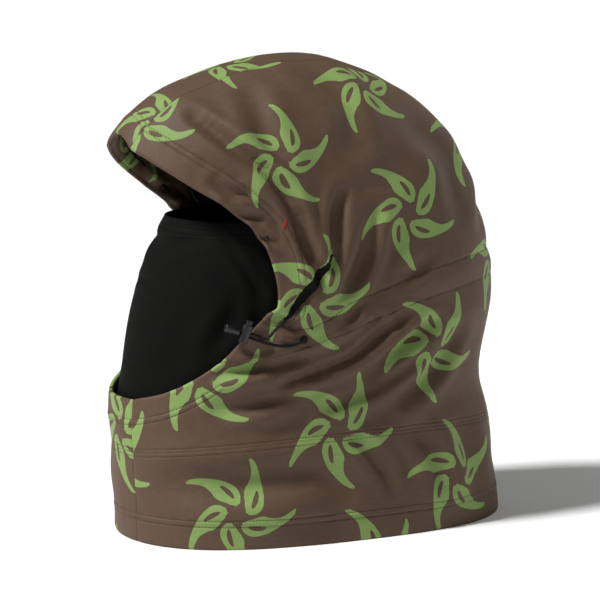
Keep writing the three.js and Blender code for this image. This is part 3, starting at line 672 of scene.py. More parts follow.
def skin(name, outer, inner, sharp, flat):
    """outer and inner are grids of points in design millimetres. The lip between them stands out
    by half the thickness. sharp is how square it is: one number, or one for each of the first
    column, the last row, the last column and the first row."""
    n, m = outer.shape[:2]
    loop = ([(i, 0) for i in range(n)] + [(n - 1, j) for j in range(1, m)]
            + [(i, m - 1) for i in range(n - 2, -1, -1)] + [(0, j) for j in range(m - 2, 0, -1)])
    ii, jj = np.array(loop).T
    top, low = outer[ii, jj], inner[ii, jj]
    centre, half = (top + low) / 2, (top - low) / 2
    tangent = unit(np.roll(centre, -1, 0) - np.roll(centre, 1, 0))
    outward = unit(np.cross(tangent, half))
    mid = outer[n // 2, m // 2]
    flip = np.sign(((centre - mid) * outward).sum(-1, keepdims=True).mean())
    outward *= flip if flip else 1
    thick = np.linalg.norm(half, axis=-1, keepdims=True)
    corners = sharp if isinstance(sharp, (tuple, list)) else (sharp,) * 4
    sharp = np.concatenate([np.broadcast_to(s, k) for s, k in
                            zip(corners, (n, m - 1, n - 1, m - 2))])[:, None]
    lips = []
    for k in range(1, LIP_STEPS):
        phi = math.pi * k / LIP_STEPS
        reach = np.sin(phi) ** (1 - 0.75 * sharp)
        lips.append(centre + half * math.cos(phi) + outward * thick * reach)
    points = np.vstack([outer.reshape(-1, 3), inner.reshape(-1, 3), *lips])
    base, rim = 2 * n * m, len(loop)
    faces = []
    for i in range(n - 1):
        for j in range(m - 1):
            a, b, c, d = i * m + j, (i + 1) * m + j, (i + 1) * m + j + 1, i * m + j + 1
            faces += [(a, b, c, d), (n * m + d, n * m + c, n * m + b, n * m + a)]
    ring = [ii * m + jj] + [base + k * rim + np.arange(rim) for k in range(LIP_STEPS - 1)]
    ring += [n * m + ii * m + jj]
    for one, two in zip(ring, ring[1:]):
        for k in range(rim):
            q = (k + 1) % rim
            faces.append((int(one[q]), int(one[k]), int(two[k]), int(two[q])))
    flat = np.vstack([*[flat.reshape(-1, 2)] * 2, *[flat[ii, jj]] * (LIP_STEPS - 1)])
    obj = make_mesh(name, (points + [0, FORWARD, 0]) * MM, faces, flat)
    mesh = bmesh.new()
    mesh.from_mesh(obj.data)
    bmesh.ops.recalc_face_normals(mesh, faces=mesh.faces)
    mesh.to_mesh(obj.data)
    mesh.free()
    return obj


print("a lip is made of", LIP_STEPS, "strips")

# %% The flat pattern map
reach_angles = np.linspace(0, math.pi / 2, 400)
stretch = np.sqrt(np.cos(reach_angles) ** 2 + (np.gradient(side_share(reach_angles), reach_angles)
                                               * HALF_WIDTH / CROWN) ** 2)
arc_share = np.r_[0, np.cumsum((stretch[1:] + stretch[:-1]) / 2 * np.diff(reach_angles))]


def side_flat(p):
    """Where a point of the side lies on the cloth laid flat, in metres from the ear."""
    y, z = p[..., 1], p[..., 2]
    up = z - EAR
    angle = np.arctan2(np.maximum(up, 0), y)
    reach = np.where(up >= 0, hood_reach(angle), np.where(y > 0, neck_back(z), neck_front(z)))
    q = np.clip(np.hypot(y, np.maximum(up, 0)) / reach, 0, 1)
    arc = reach * np.interp(np.arcsin(q), reach_angles, arc_share)
    return np.stack([arc * np.cos(angle), arc * np.sin(angle) + np.minimum(up, 0)], -1) * MM


print("from ear to crown the cloth is", round(float(arc_share[-1] * hood_reach(math.pi / 2)), 1),
      "mm")

# %% [markdown]
# ## Stitches
# Each stitch is a small grain of thread of its own, so a row catches the light as sewing does. A
# row follows a line on the cloth, and all the grains of one thread become one mesh.

# %% Stitches
SINK = 0.02  # how far a stitch stands off the groove it lies in, in mm
thread_points, thread_faces = {}, {}


def add_stitch(group, centre, way, out, long, wide, around=6):
    """One stitch: a short grain of thread that bends into the cloth at both ends."""
    points, faces = thread_points.setdefault(group, []), thread_faces.setdefault(group, [])
    base = len(points)
    side = np.cross(out, way)
    rings = ((-0.5, 0.25, -0.30), (-0.36, 0.85, 0.0), (0.0, 1.0, 0.12), (0.36, 0.85, 0.0),
             (0.5, 0.25, -0.30))
    for s, girth, lift in rings:
        for k in range(around):
            a = 2 * math.pi * k / around
            points.append(centre + way * s * long + out * lift
                          + (out * math.sin(a) * 0.8 + side * math.cos(a)) * girth * wide / 2)
    for r in range(len(rings) - 1):
        for k in range(around):
            q = (k + 1) % around
            b = base + r * around
            faces.append((b + k, b + q, b + around + q, b + around + k))
    faces.append(tuple(base + k for k in reversed(range(around))))
    faces.append(tuple(base + (len(rings) - 1) * around + k for k in range(around)))


def stitch_row(group, line, pitch=2.7, long=2.05, wide=0.46):
    """Stitches along a line of points on the cloth."""
    run = np.r_[0, np.cumsum(np.linalg.norm(np.diff(line, axis=0), axis=1))]
    count = max(int(run[-1] / pitch), 1)
    want = (np.arange(count) + 0.5) * run[-1] / count
    at = np.stack([np.interp(want, run, line[:, k]) for k in range(3)], 1)
    ahead = np.stack([np.interp(want + 0.8, run, line[:, k]) for k in range(3)], 1)
    behind = np.stack([np.interp(want - 0.8, run, line[:, k]) for k in range(3)], 1)
    way, out = unit(ahead - behind), normals(at)
    out = unit(out - way * (out * way).sum(-1, keepdims=True))
    for c, w, o in zip(at, way, out):
        add_stitch(group, c + o * SINK, w, o, long, wide)


print("stitches are ready to sew")

# %% [markdown]
# ## One panel, and everything on it
# A panel's plan says how its two stitched edges are made: how wide the turned leaf is, where the
# rows of stitches run, and whether the edge is folded or sewn. The right panels mirror the left.

# %% Edges and rows
CLOTH, UNDER, LEAF_IN, LINING = 2.0, 2.3, 3.7, 1.0  # thicknesses and depths, in mm
EYELET_FOOT = np.array([89.11, -44.48 - FORWARD, 164.5])
EYELET_FLAT = 9  # the cloth lies flat this far round an eyelet
GROOVE = 0.5
STANDING = 26  # the cloth is calmer this far above the hem that it stands on


def near_rows(trim, leaf, rows):
    """Grid distances from an edge: close together at the lip, the stitches and the leaf's end."""
    marks = [trim, trim + 0.5, trim + 1.3, trim + 2.6, trim + 4.5]
    for row in rows:
        marks += [row - 1.3, row - 0.55, row, row + 0.55, row + 1.3]
    if leaf:
        marks += list(np.arange(trim + 7.5, leaf - 1, 3.2)) + [leaf - 0.5, leaf, leaf + 0.6]
    out = []
    for mark in sorted(marks):
        if mark >= trim and (not out or mark - out[-1] > 0.32):
            out.append(mark)
    return out


def edge_relief(d, rows, dip, trim):
    out = -dip * np.exp(-np.maximum(d - trim, 0) / 1.1)
    for row in rows:
        out = out - GROOVE * np.exp(-((d - row) / 0.55) ** 2)
    if len(rows) == 2:
        mid, half = sum(rows) / 2, abs(rows[1] - rows[0]) / 2
        out = out + 0.35 * np.clip(1 - ((d - mid) / half) ** 2, 0, 1)
    return out


def leaf_depth(d, leaf, cordway):
    """How deep the inside lies: the cloth alone, or the cloth with its turned leaf."""
    if not leaf:
        return CLOTH + 0 * d
    share = np.clip((leaf - d) / 0.5, 0, 1)
    deep = LEAF_IN + (2.4 * np.exp(-((d - cordway) / 5.5) ** 4) if cordway else 0)
    return CLOTH + (deep - CLOTH) * share


print("cloth", CLOTH, "mm, with its leaf", LEAF_IN, "mm")


# %% Panel builder
def panel(name, lay, columns, step, start, end, sign=1, flat=side_flat, stands=False,
          puff=None, share_rows=1.0, sharp=0.0):
    """start and end: dict(leaf, rows, dip, cordway, sharp) for the edges at u = 0 and u = 1."""
    trims = [(LEAF_IN if e["leaf"] else CLOTH) / 2 - (0 if e["leaf"] else TOUCH)
             for e in (start, end)]
    sewn_part = np.where(columns > share_rows, trims[0] - CLOTH / 2 + TOUCH, 0.0)
    first = [mark - sewn_part * max(0, 1 - (mark - trims[0]) / 6)
             for mark in near_rows(trims[0], start["leaf"], start["rows"])]
    u, d, total = spaced_lines(lay, first, near_rows(trims[1], end["leaf"], end["rows"]), step,
                               columns)
    v = np.broadcast_to(columns, u.shape)
    p = lay(u, v)
    n = normals(p)
    fold = folds(p * [sign, 1, 1])
    near, far = d, total - d
    across = np.cumsum(np.linalg.norm(np.diff(p, axis=1), axis=-1), axis=1)
    across = np.hstack([np.zeros((len(p), 1)), across])
    left, right_ = across, across[:, -1:] - across
    active = (v <= share_rows) if share_rows < 1 else np.ones(v.shape, bool)
    calm = np.ones(v.shape)
    if stands:
        calm = np.clip(far / STANDING, 0, 1) ** 0.7
    lift = fold * calm
    lift += np.where(active, edge_relief(near, start["rows"], start["dip"], trims[0]),
                     edge_relief(near, (), 0.1, trims[0]))
    lift += edge_relief(far, end["rows"], end["dip"], trims[1])
    lift += -0.3 * np.exp(-left / 1.2) - 0.3 * np.exp(-right_ / 1.2)
    if puff:
        swell = np.sin(math.pi * np.clip(near / total, 0, 1)) ** 1.3
        lift += puff * swell * (1 - lock_room(p))
    spot = np.linalg.norm(p - EYELET_FOOT, axis=-1)
    lift *= 1 - np.exp(-((spot / EYELET_FLAT) ** 4))
    pucker = 0.16 * np.sin((left if stands else across) / 1.9 + 3 * np.sin(across / 17))
    for rows, dist in ((start["rows"], near), (end["rows"], far)):
        for row in rows:
            lift += np.where(active, pucker * np.exp(-((dist - row) / 3.2) ** 2), 0)
    deep = np.maximum(np.where(active, leaf_depth(near, start["leaf"], start.get("cordway")),
                               CLOTH), leaf_depth(far, end["leaf"], end.get("cordway")))
    outer = p + n * lift[..., None]
    inner = p + n * (fold * calm - deep)[..., None]
    if stands:
        outer[-1, :, 2] = inner[-1, :, 2] = (outer[-1, :, 2] + inner[-1, :, 2]) / 2
    uv = flat(p)
    outer_s, inner_s = outer * [sign, 1, 1], inner * [sign, 1, 1]
    piece = skin(name, outer_s, inner_s, sharp, uv * [sign, 1])
    for rows, edge_distance in ((start["rows"], d), (end["rows"], total - d)):
        for row in rows:
            line = []
            for j in range(outer.shape[1]):
                if edge_distance is d and share_rows < 1 and columns[j] > share_rows:
                    continue
                order = slice(None) if edge_distance is d else slice(None, None, -1)
                line.append([np.interp(row, edge_distance[order, j], outer_s[order, j, k])
                             for k in range(3)])
            stitch_row("panel", np.array(line))
    return piece


print("panel builder ready")


# %% Plans for the edges
def finish_piece(piece, body_name, slot_name, *nodes):
    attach(piece, body_name)
    if nodes:
        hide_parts(*nodes)


sewn = dict(leaf=0, rows=(), dip=0.35)
flat_seam = dict(leaf=0, rows=(3.0,), dip=0.15)
top_stitched = dict(leaf=0, rows=(1.3,), dip=0.1)
face_fold = dict(leaf=26.5, rows=(18.6, 23.6), dip=0.1, cordway=9.5)
rim_fold = dict(leaf=24.0, rows=(16.2, 20.8), dip=0.1)
hem_fold = dict(leaf=26.5, rows=(18.6, 23.4), dip=0.1)
print("the face hem is", face_fold["leaf"], "mm deep, the lower hem", hem_fold["leaf"], "mm")

# %% The printed shell
printed = []
side_columns = side_shares(235, 3.0)
channel_columns = side_shares(470, 3.0)
neck_columns = side_shares(370, 3.0)
strip_columns = side_shares(54, 3.0)
RIM_SHARE = RIM / (RIM + ALONG + 2)  # the part of a neck panel's top that is the face opening


def strip_flat(p):
    return np.stack([p[..., 0] + 31, p[..., 2] + p[..., 1] * 0.55 + 17], -1) * MM


def crown_flat(p):
    """The crown strip laid flat: the way across, and the arc back from the brim."""
    angle = np.arctan2(p[..., 2] - EAR, p[..., 1])
    return np.stack([p[..., 0] + 31, 742.6 - hood_reach(angle) * angle], -1) * MM


def swapped(lay):
    return lambda u, v: lay(v, u)


for side, sign in SIDES:
    piece = panel(f"side_cloth_{side}", side_lay, side_columns, 3.0, face_fold, sewn, sign,
                  sharp=(0, 0, 1, 0))
    finish_piece(piece, "hood", "printed_knit", f"side_panel_{side}", f"face_facing_{side}")
    printed.append(piece)
    piece = panel(f"channel_cloth_{side}", swapped(channel_lay), channel_columns, 2.4,
                  top_stitched, top_stitched, sign, puff=1.3, sharp=(0, 1, 0, 1))
    finish_piece(piece, "hood", "printed_knit", *(["rear_channel"] if sign > 0 else []))
    printed.append(piece)
    piece = panel(f"neck_cloth_{side}", swapped(neck_lay), neck_columns, 3.0, rim_fold,
                  flat_seam, sign, share_rows=RIM_SHARE, sharp=(0, 1, 0, 0.6))
    finish_piece(piece, "hood", "printed_knit", f"neck_panel_{side}", f"rim_facing_{side}")
    printed.append(piece)
    piece = panel(f"gaiter_cloth_{side}", swapped(gaiter_lay), neck_columns, 3.0, flat_seam,
                  hem_fold, sign, stands=True, sharp=(0, 0, 0, 1))
    finish_piece(piece, "hood", "printed_knit", f"gaiter_panel_{side}", f"hem_facing_{side}")
    printed.append(piece)
neck_top_z = float(EAR + NECK_STEP * neck_top[0][1])
for name, lay, start, end, flat, stands, nodes in (
        ("crown_cloth", crown_lay, face_fold, sewn, crown_flat, False,
         ("crown_strip", "crown_facing")),
        ("front_cloth_upper", front_lay(neck_top_z, YOKE_FRONT), rim_fold, flat_seam, strip_flat,
         False, ("front_strip_upper", "front_rim_facing")),
        ("front_cloth_lower", front_lay(YOKE_FRONT, 0), flat_seam, hem_fold, strip_flat, True,
         ("front_strip_lower", "front_hem_facing"))):
    piece = panel(name, lay, strip_columns, 3.0, start, end, flat=flat, stands=stands)
    finish_piece(piece, "hood", "printed_knit", *nodes)
    printed.append(piece)
print(len(printed), "printed pieces,", sum(len(o.data.polygons) for o in printed), "faces")

# %% [markdown]
# ## Linings
# Inside the hood a black brushed knit lies under the print, from the turned leaf to the back. It
# follows the same folds, so the two layers stay together, and it bulges where a cord runs.

# %% Lining sheets
CORD_BULGE, LINING_STEP = 2.8, 4.0
OPEN_EDGE, MEETING_EDGE = (0.7, 1.5, 3.0), (0.15, 1.0, 3.0)


def lining(name, lay, columns, start, end, sign, cordway=False):
    """start and end: how far from each edge the lining begins, in mm."""
    u, d, total = spaced_lines(lay, [start, start + 1, start + 3], [end, end + 1, end + 3],
                               LINING_STEP, columns)
    p = lay(u, np.broadcast_to(columns, u.shape))
    n = normals(p)
    fold = folds(p * [sign, 1, 1])
    deep = UNDER + 0.25 * np.abs(fold)
    if cordway:
        deep = deep + CORD_BULGE * np.sin(math.pi * np.clip(d / total, 0, 1)) ** 1.2
    fine = 0.12 * np.sin(p[..., 1] / 2.7 + p[..., 2] / 3.1)
    outer = (p + n * (fold - deep)[..., None]) * [sign, 1, 1]
    inner = (p + n * (fold - deep - LINING + fine)[..., None]) * [sign, 1, 1]
    return skin(name, outer, inner, 0.0, side_flat(p))


strip_inner = side_shares(54, LINING_STEP, OPEN_EDGE)
side_inner, along_inner, neck_inner = (side_shares(length, LINING_STEP, MEETING_EDGE)
                                       for length in (235, 470, 370))
linings = []
for side, sign in SIDES:
    for name, lay, columns, start, end, bulge, nodes in (
            ("side", side_lay, side_inner, 25.5, 0.7, False, [f"side_lining_{side}"]),
            ("channel", swapped(channel_lay), along_inner, 0.7, 0.7, True,
             ["channel_lining"] if sign > 0 else []),
            ("neck", swapped(neck_lay), RIM_SHARE + (1 - RIM_SHARE) * neck_inner, 0.7, 0.7, False,
             [f"neck_lining_{side}"]),
            ("rim", swapped(neck_lay), RIM_SHARE * side_shares(90, LINING_STEP, OPEN_EDGE), 23.0,
             0.7, False, [f"rim_lining_{side}"]),
            ("gaiter", swapped(gaiter_lay), neck_inner, 0.7, 25.0, False,
             [f"gaiter_lining_{side}"])):
        piece = lining(f"{name}_inside_{side}", lay, columns, start, end, sign, bulge)
        finish_piece(piece, "hood", "black_lining", *nodes)
        linings.append(piece)
for name, lay, start, end, node in (
        ("crown", crown_lay, 25.5, 0.7, "crown_lining"),
        ("front_upper", front_lay(neck_top_z, YOKE_FRONT), 23.0, 0.7, "front_lining_upper"),
        ("front_lower", front_lay(YOKE_FRONT, 0), 0.7, 25.0, "front_lining_lower")):
    piece = lining(f"{name}_inside", lay, strip_inner, start, end, 1)
    finish_piece(piece, "hood", "black_lining", node)
    linings.append(piece)
print(len(linings), "lining pieces")

# %% [markdown]
# ## The face mask
# The mask is one sheet of stretch jersey, sewn in at the neck, with a doubled band along its top.
# When it is pulled down under the chin the band moves and the sheet crumples towards its foot. The
# band rides on the moving body, and the sheet stays on the hood.

# %% Mask surface
MASK_CUT = (0.34, 0.15)  # the sheet laid flat, in metres
MASK_FOOT, MASK_SEAM, MASK_TOP, MASK_THICK, MASK_BACK = 94, 243, 256, 1.4, 40
REACH_FRONT = float(hood_reach(math.pi))
mask_side = smooth_table((94, float(neck_side(94)) - 3.9), (124, 83), (180, 83), (256, 79))
mask_front = smooth_table((94, float(neck_front(94)) - 3.9), (124, 163.5),
                          (180, REACH_FRONT - 16), (215, REACH_FRONT - 26.5),
                          (238, REACH_FRONT - 38), (256, REACH_FRONT - 47))
MASK_CREASES = (
    (((-104, 247), (-96, 232), (-86, 215), (-76, 200)), 2.2, 3.2),
    (((-149, 221), (-138, 230), (-124, 239), (-110, 245)), 2.0, 3.6),
    (((-151, 217), (-147, 208), (-140, 203)), 1.6, 3.4),
    (((-146, 245), (-132, 240)), 1.3, 3.2),
    (((-124, 150), (-106, 172), (-92, 200)), 2.2, 7.0),
    (((-144, 134), (-136, 160), (-130, 190)), 1.8, 8.0),
    (((-84, 172), (-80, 196), (-82, 220)), 1.5, 6.0),
)


def mask_points(t, z):
    side, front = mask_side(z), mask_front(z)
    edge = np.arcsin(MASK_BACK / front)
    a = edge + (math.pi - 2 * edge) * t
    return np.stack([side * side_share(a), -front * np.sin(a), z], -1)


def mask_grid(z_lines, t_lines):
    z, t = np.meshgrid(z_lines, t_lines, indexing="ij")
    p = mask_points(t, z)
    ahead, behind = mask_points(t + 0.002, z), mask_points(t - 0.002, z)
    way = unit(ahead - behind)
    n = np.stack([-way[..., 1], way[..., 0], 0 * z], -1)
    n *= np.sign((n * (p * [1, 1, 0])).sum(-1, keepdims=True))
    return p, unit(n)


def mask_folds(p):
    out = 0.35 * np.sin(p[..., 2] / 21 + np.abs(p[..., 0]) / 19 + p[..., 1] / 33)
    out += crease_lift(p, MASK_CREASES, 20, 0.06, 1.0, 0.6, 1.8)
    return out * np.clip((p[..., 2] - MASK_FOOT - 6) / 20, 0, 1)


print("mask top is", round(float(mask_side(MASK_TOP)) * 2), "mm wide")


# %% Mask pieces
def mask_sheet(name, z_low, z_high, step, thick, rows=(), proud=0.0):
    marks = sorted({z_low, z_low + 0.6, z_high - 0.6, z_high,
                    *np.linspace(z_low + 1.4, z_high - 1.4, int((z_high - z_low) / step) + 1),
                    *(r + s for r in rows for s in (-0.6, 0, 0.6))})
    t_lines = np.r_[0.002, 0.006, np.linspace(0.012, 0.988, 150), 0.994, 0.998]
    p, n = mask_grid(np.array(marks), t_lines)
    lift = mask_folds(p)
    for row in rows:
        lift = lift - 0.28 * np.exp(-((p[..., 2] - row) / 0.6) ** 2)
        lift = lift + 0.12 * np.sin(p[..., 1] / 1.4 + p[..., 0] / 1.6) * np.exp(
            -((p[..., 2] - row) / 3) ** 2)
    outer = p + n * (lift + proud)[..., None]
    inner = p + n * (mask_folds(p) - thick)[..., None]
    flat = np.stack([np.broadcast_to(t_lines * MASK_CUT[0], p.shape[:2]), p[..., 2] * MM], -1)
    piece = skin(name, outer, inner, 0.0, flat)
    for row in rows:
        k = int(np.argmin(np.abs(np.array(marks) - row)))
        stitch_row("mask", outer[k], pitch=2.5, long=1.9, wide=0.42)
    return piece


mask_piece = mask_sheet("mask_cloth", MASK_FOOT + 0.8, MASK_SEAM - 0.7, 3.0, MASK_THICK)
band_piece = mask_sheet("mask_band", MASK_SEAM - 0.5, MASK_TOP - 0.9, 2.2, MASK_THICK + 0.4,
                        rows=(MASK_SEAM + 1.2, MASK_SEAM + 5.4), proud=0.25)
finish_piece(mask_piece, "hood", "mask_jersey", "mask_front")
finish_piece(band_piece, "mask_top", "mask_jersey", "mask_hem")
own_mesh(mask_piece)

# %% [markdown]
# ## Painted shade in the cheek folds, bartacks and threads
# A narrow black sheet lies along the deep fold in each cheek as painted shade, darkening the fold
# as its shadow would. A bartack is a bar of close zigzag stitches that holds the end of a channel,
# so it is made from the same grains of thread as the seams.

# %% Painted shade in the cheek folds
FOLD_SHADE_FOOT, FOLD_SHADE_TIP = np.array([-63, 181.5]), np.array([-21.0, 230.0])  # (y, z) in mm
FOLD_SHADE_ROWS, FOLD_SHADE_COLUMNS = 49, 13
t, s = np.meshgrid(np.linspace(0, 1, FOLD_SHADE_ROWS), np.linspace(-1, 1, FOLD_SHADE_COLUMNS),
                   indexing="ij")
way = FOLD_SHADE_TIP - FOLD_SHADE_FOOT
length = np.linalg.norm(way)
way, aside = way / length, np.array([-way[1], way[0]]) / length
half = 3.4 * np.sin(math.pi * t) ** 0.8 + 0.4
at = FOLD_SHADE_FOOT + way * (length * t)[..., None] + aside * (s * half)[..., None]
place = chart(at.reshape(-1, 2)).reshape(*t.shape, 2)
p = body(place[..., 0], place[..., 1])
n = normals(p)
rise = 0.55 + 0.9 * (1 - s**2) * np.sin(math.pi * t) ** 0.5
for side, sign in SIDES:
    fold = folds(p * [sign, 1, 1])
    outer = (p + n * (fold + rise - 0.1)[..., None]) * [sign, 1, 1]
    inner = (p + n * (fold - CLOTH)[..., None]) * [sign, 1, 1]
    # painted shade: a black sheet along the cheek crease darkens the fold as its shadow would
    piece = skin(f"cheek_insert_{side}", outer, inner, 0.0, side_flat(p))
    finish_piece(piece, "hood", "black_lining", f"cheek_gusset_{side}")
print("cheek insert", round(float(length)), "mm long")

# %% Bartacks
TACK_FOOT = np.array([86.89, -61.48 - FORWARD, 255.94])
TACK_OUT = np.array([0.99206, -0.06934, 0.1049])
TACK_WAY = np.array([0.0, 0.55, 0.83])
for side, sign in SIDES:
    turn = np.array([sign, 1, 1])
    way = unit(TACK_WAY - TACK_OUT * (TACK_WAY @ TACK_OUT))
    over = np.cross(TACK_OUT, way)
    lift = float(folds((TACK_FOOT * turn)[None])[0])
    for k in range(15):
        c = TACK_FOOT + TACK_OUT * (0.45 + lift) + way * (k - 7) * 0.42
        lean = unit(over + way * 0.12 * (-1) ** k)
        add_stitch(f"tack_{side}", c * turn, lean * turn, TACK_OUT * turn, 2.5, 0.62, 8)
    for s in (-0.8, 0.8):
        add_stitch(f"tack_{side}", (TACK_FOOT + TACK_OUT * (0.3 + lift) + over * s) * turn,
                   way * turn, TACK_OUT * turn, 6.2, 0.7, 8)
threads = {}
for group in sorted(thread_points):
    name = {"panel": "seam_stitches", "mask": "band_stitches"}.get(group, group)
    piece = make_mesh(name, (np.array(thread_points[group]) + [0, FORWARD, 0]) * MM,
                      thread_faces[group])
    threads[group] = piece
    if group.startswith("tack_"):
        finish_piece(piece, "hood", "red_thread", "bartack_" + group[5:])
    else:
        finish_piece(piece, "mask_top" if group == "mask" else "hood",
                     "mask_jersey" if group == "mask" else "printed_knit")
    print(name, len(piece.data.vertices), "points")

# %% [markdown]
# ## Shader maths
# A socket is wrapped in a small class, so that a formula is written as a Python expression and
# each operator adds its Math node.

# %% Socket wrapper
class Shade:
    """A value in a material: a socket with arithmetic."""

    def __init__(self, made, socket):
        self.made, self.socket = made, socket

    def math(self, operation, *others):
        return self.made.node("ShaderNodeMath", dict(operation=operation),
                              dict(enumerate((self, *others))))[0]

    def turned(self, operation, other):
        """The same with the number first, as in 1 - mask."""
        return self.made.node("ShaderNodeMath", dict(operation=operation), {0: other, 1: self})[0]

    def __add__(self, other): return self.math("ADD", other)
    def __sub__(self, other): return self.math("SUBTRACT", other)
    def __mul__(self, other): return self.math("MULTIPLY", other)
    def __truediv__(self, other): return self.math("DIVIDE", other)
    def __gt__(self, other): return self.math("GREATER_THAN", other)
    def __lt__(self, other): return self.math("LESS_THAN", other)
    def __rsub__(self, other): return self.turned("SUBTRACT", other)
    def __rtruediv__(self, other): return self.turned("DIVIDE", other)
    __radd__, __rmul__ = __add__, __mul__


print("a socket takes + - * / and comparisons")


# %% Finish maker
class Finish:
    """A material made of nodes, with one method that adds any of them."""

    def __init__(self, name, **constants):
        self.material = bpy.data.materials.new(name)
        self.material.use_nodes = True
        self.tree = self.material.node_tree
        self.shader = self.tree.nodes["Principled BSDF"]
        for key, value in constants.items():
            self.shader.inputs[key.replace("_", " ")].default_value = value

    def node(self, kind, settings=None, inputs=None):
        node = self.tree.nodes.new(kind)
        for key, value in (settings or {}).items():
            if key == "stops":
                ramp = node.color_ramp
                ramp.interpolation = "CARDINAL"
                ramp.elements.remove(ramp.elements[1])
                ramp.elements[0].position, ramp.elements[0].color = value[0]
                for place, colour in value[1:]:
                    ramp.elements.new(place).color = colour
            else:
                setattr(node, key, value)
        for key, value in (inputs or {}).items():
            if isinstance(value, Shade):
                self.tree.links.new(value.socket, node.inputs[key])
            else:
                node.inputs[key].default_value = value
        return [Shade(self, s) for s in node.outputs if s.enabled or s.is_linked]

    def mix(self, share, one, two):
        node = self.tree.nodes.new("ShaderNodeMix")
        node.data_type = "RGBA"
        for key, value in ((0, share), (6, one), (7, two)):
            if isinstance(value, Shade):
                self.tree.links.new(value.socket, node.inputs[key])
            else:
                node.inputs[key].default_value = value
        return Shade(self, node.outputs[2])

    def set(self, **sockets):
        for key, value in sockets.items():
            self.tree.links.new(value.socket, self.shader.inputs[key.replace("_", " ")])
        return self.material


def srgb(r, g, b):
    """A colour read as 0 to 255 on a screen, as the shader wants it."""
    line = [c / 255 for c in (r, g, b)]
    return tuple(c / 12.92 if c <= 0.04045 else ((c + 0.055) / 1.055) ** 2.4 for c in line) + (1.0,)


print("mid grey for the shader is", round(srgb(128, 128, 128)[0], 3))

# %% [markdown]
# ## Knit
# A brushed knit has fine upright ribs, a soft nap and slow changes of shade. The ribs are a wave
# along the flat map, and the nap is noise in space.

# %% Knit parts
def knit_bump(made, flat, across=1500.0, down=1900.0, depth=0.25):
    """The bump of the knit, and its nap, which also varies the colour and the gloss."""
    x, y, _ = made.node("ShaderNodeSeparateXYZ", {}, {0: flat})
    ribs = (x * across * 2).math("SINE")
    loops = (y * down * 2 + ribs * 0.8).math("SINE")
    hairs = made.node("ShaderNodeTexNoise", {}, {"Scale": 900.0, "Detail": 3.0})[0]
    height = ribs * 0.35 + loops * 0.25 + hairs * 0.9
    return made.node("ShaderNodeBump", {}, {"Strength": depth, "Distance": 0.0004,
                                            "Height": height})[0], hairs


print("knit parts ready")

# %% [markdown]
# ## The print
# Generic pinwheels of five curved leaves lie on a skewed lattice, each turned by its own angle.
# A leaf is a band round a spiral: wide near the middle, thin at the tip, with a narrow slit cut
# out of its head. All of it is polar arithmetic on the flat map.

# %% Printed knit
A1, A2 = np.array([0.0225, -0.109]), np.array([-0.0865, -0.062])  # lattice steps in metres
LEAVES, LEAF_REACH, SPIRAL = 5, 0.050, 1.2


def print_mask(made, flat, start, turned):
    c, s = math.cos(math.radians(turned)), math.sin(math.radians(turned))
    one, two = (np.array([[c, -s], [s, c]]) @ a for a in (A1, A2))
    inverse = np.linalg.inv(np.stack([one, two], 1))
    x, y, _ = made.node("ShaderNodeSeparateXYZ", {}, {0: flat})
    x, y = x - start[0], y - start[1]
    p = x * float(inverse[0, 0]) + y * float(inverse[0, 1])
    q = x * float(inverse[1, 0]) + y * float(inverse[1, 1])
    cp, cq = (p + 0.5).math("FLOOR"), (q + 0.5).math("FLOOR")
    p, q = p - cp, q - cq
    dx = p * float(one[0]) + q * float(two[0])
    dy = p * float(one[1]) + q * float(two[1])
    cell = made.node("ShaderNodeCombineXYZ", {}, {0: cp, 1: cq, 2: start[0] * 100})[0]
    chance = made.node("ShaderNodeTexWhiteNoise", dict(noise_dimensions="3D"),
                       {"Vector": cell})[0]
    r = (dx * dx + dy * dy).math("SQRT") / (0.9 + chance * 0.1)
    turn = dy.math("ARCTAN2", dx) + chance * (2 * math.pi)
    share = r / LEAF_REACH
    turn = turn - share.math("POWER", 0.8) * SPIRAL
    leaf = (turn * (LEAVES / (2 * math.pi)) + 100).math("FRACT") - 0.5
    aside = leaf * (2 * math.pi / LEAVES) * r
    half = made.node("ShaderNodeValToRGB", dict(stops=[
        (0.0, (0, 0, 0, 1)), (0.15, (0, 0, 0, 1)), (0.20, (.30, .30, .30, 1)),
        (0.30, (.60, .60, .60, 1)), (0.42, (.80, .80, .80, 1)), (0.52, (.70, .70, .70, 1)),
        (0.68, (.43, .43, .43, 1)), (0.92, (.235, .235, .235, 1)), (0.975, (.17, .17, .17, 1)),
        (1.0, (0, 0, 0, 1))]), {"Fac": share})[0] * 0.0128
    lean = aside - (share - 0.5) * 0.0008
    inside = ((half - lean.math("ABSOLUTE")) * 9000 + 0.5).math("MINIMUM", 1.0).math("MAXIMUM", 0.0)
    slit_r = (share - 0.41) * (1 / 0.135)
    slit_a = (aside + 0.0012) * (1 / 0.0024)
    slit = slit_r * slit_r + slit_a * slit_a < 1
    return inside * (1 - slit)


print(LEAVES, "leaves to a pinwheel,", round(LEAF_REACH * 2000), "mm across")


# %% Cuts of the print
def printed_knit(name, start, turned):
    made = Finish(name, Sheen_Weight=0.12, Sheen_Roughness=0.35, Specular_IOR_Level=0.3,
                  Sheen_Tint=srgb(190, 165, 140))
    flat = made.node("ShaderNodeUVMap", dict(uv_map="flat"))[0]
    leaf = print_mask(made, flat, start, turned)
    bump, hairs = knit_bump(made, flat)
    slow = made.node("ShaderNodeTexNoise", {}, {"Scale": 28.0, "Detail": 2.0})[0]
    brown = made.mix(slow, srgb(80, 61, 46), srgb(94, 73, 56))
    green = made.mix(slow, srgb(120, 148, 79), srgb(135, 162, 93))
    colour = made.mix(leaf, brown, green)
    colour = made.mix((hairs - 0.5) * 0.5 + 0.12, colour, srgb(45, 34, 26))
    return made.set(Base_Color=colour, Roughness=hairs * 0.25 + 0.5, Normal=bump)


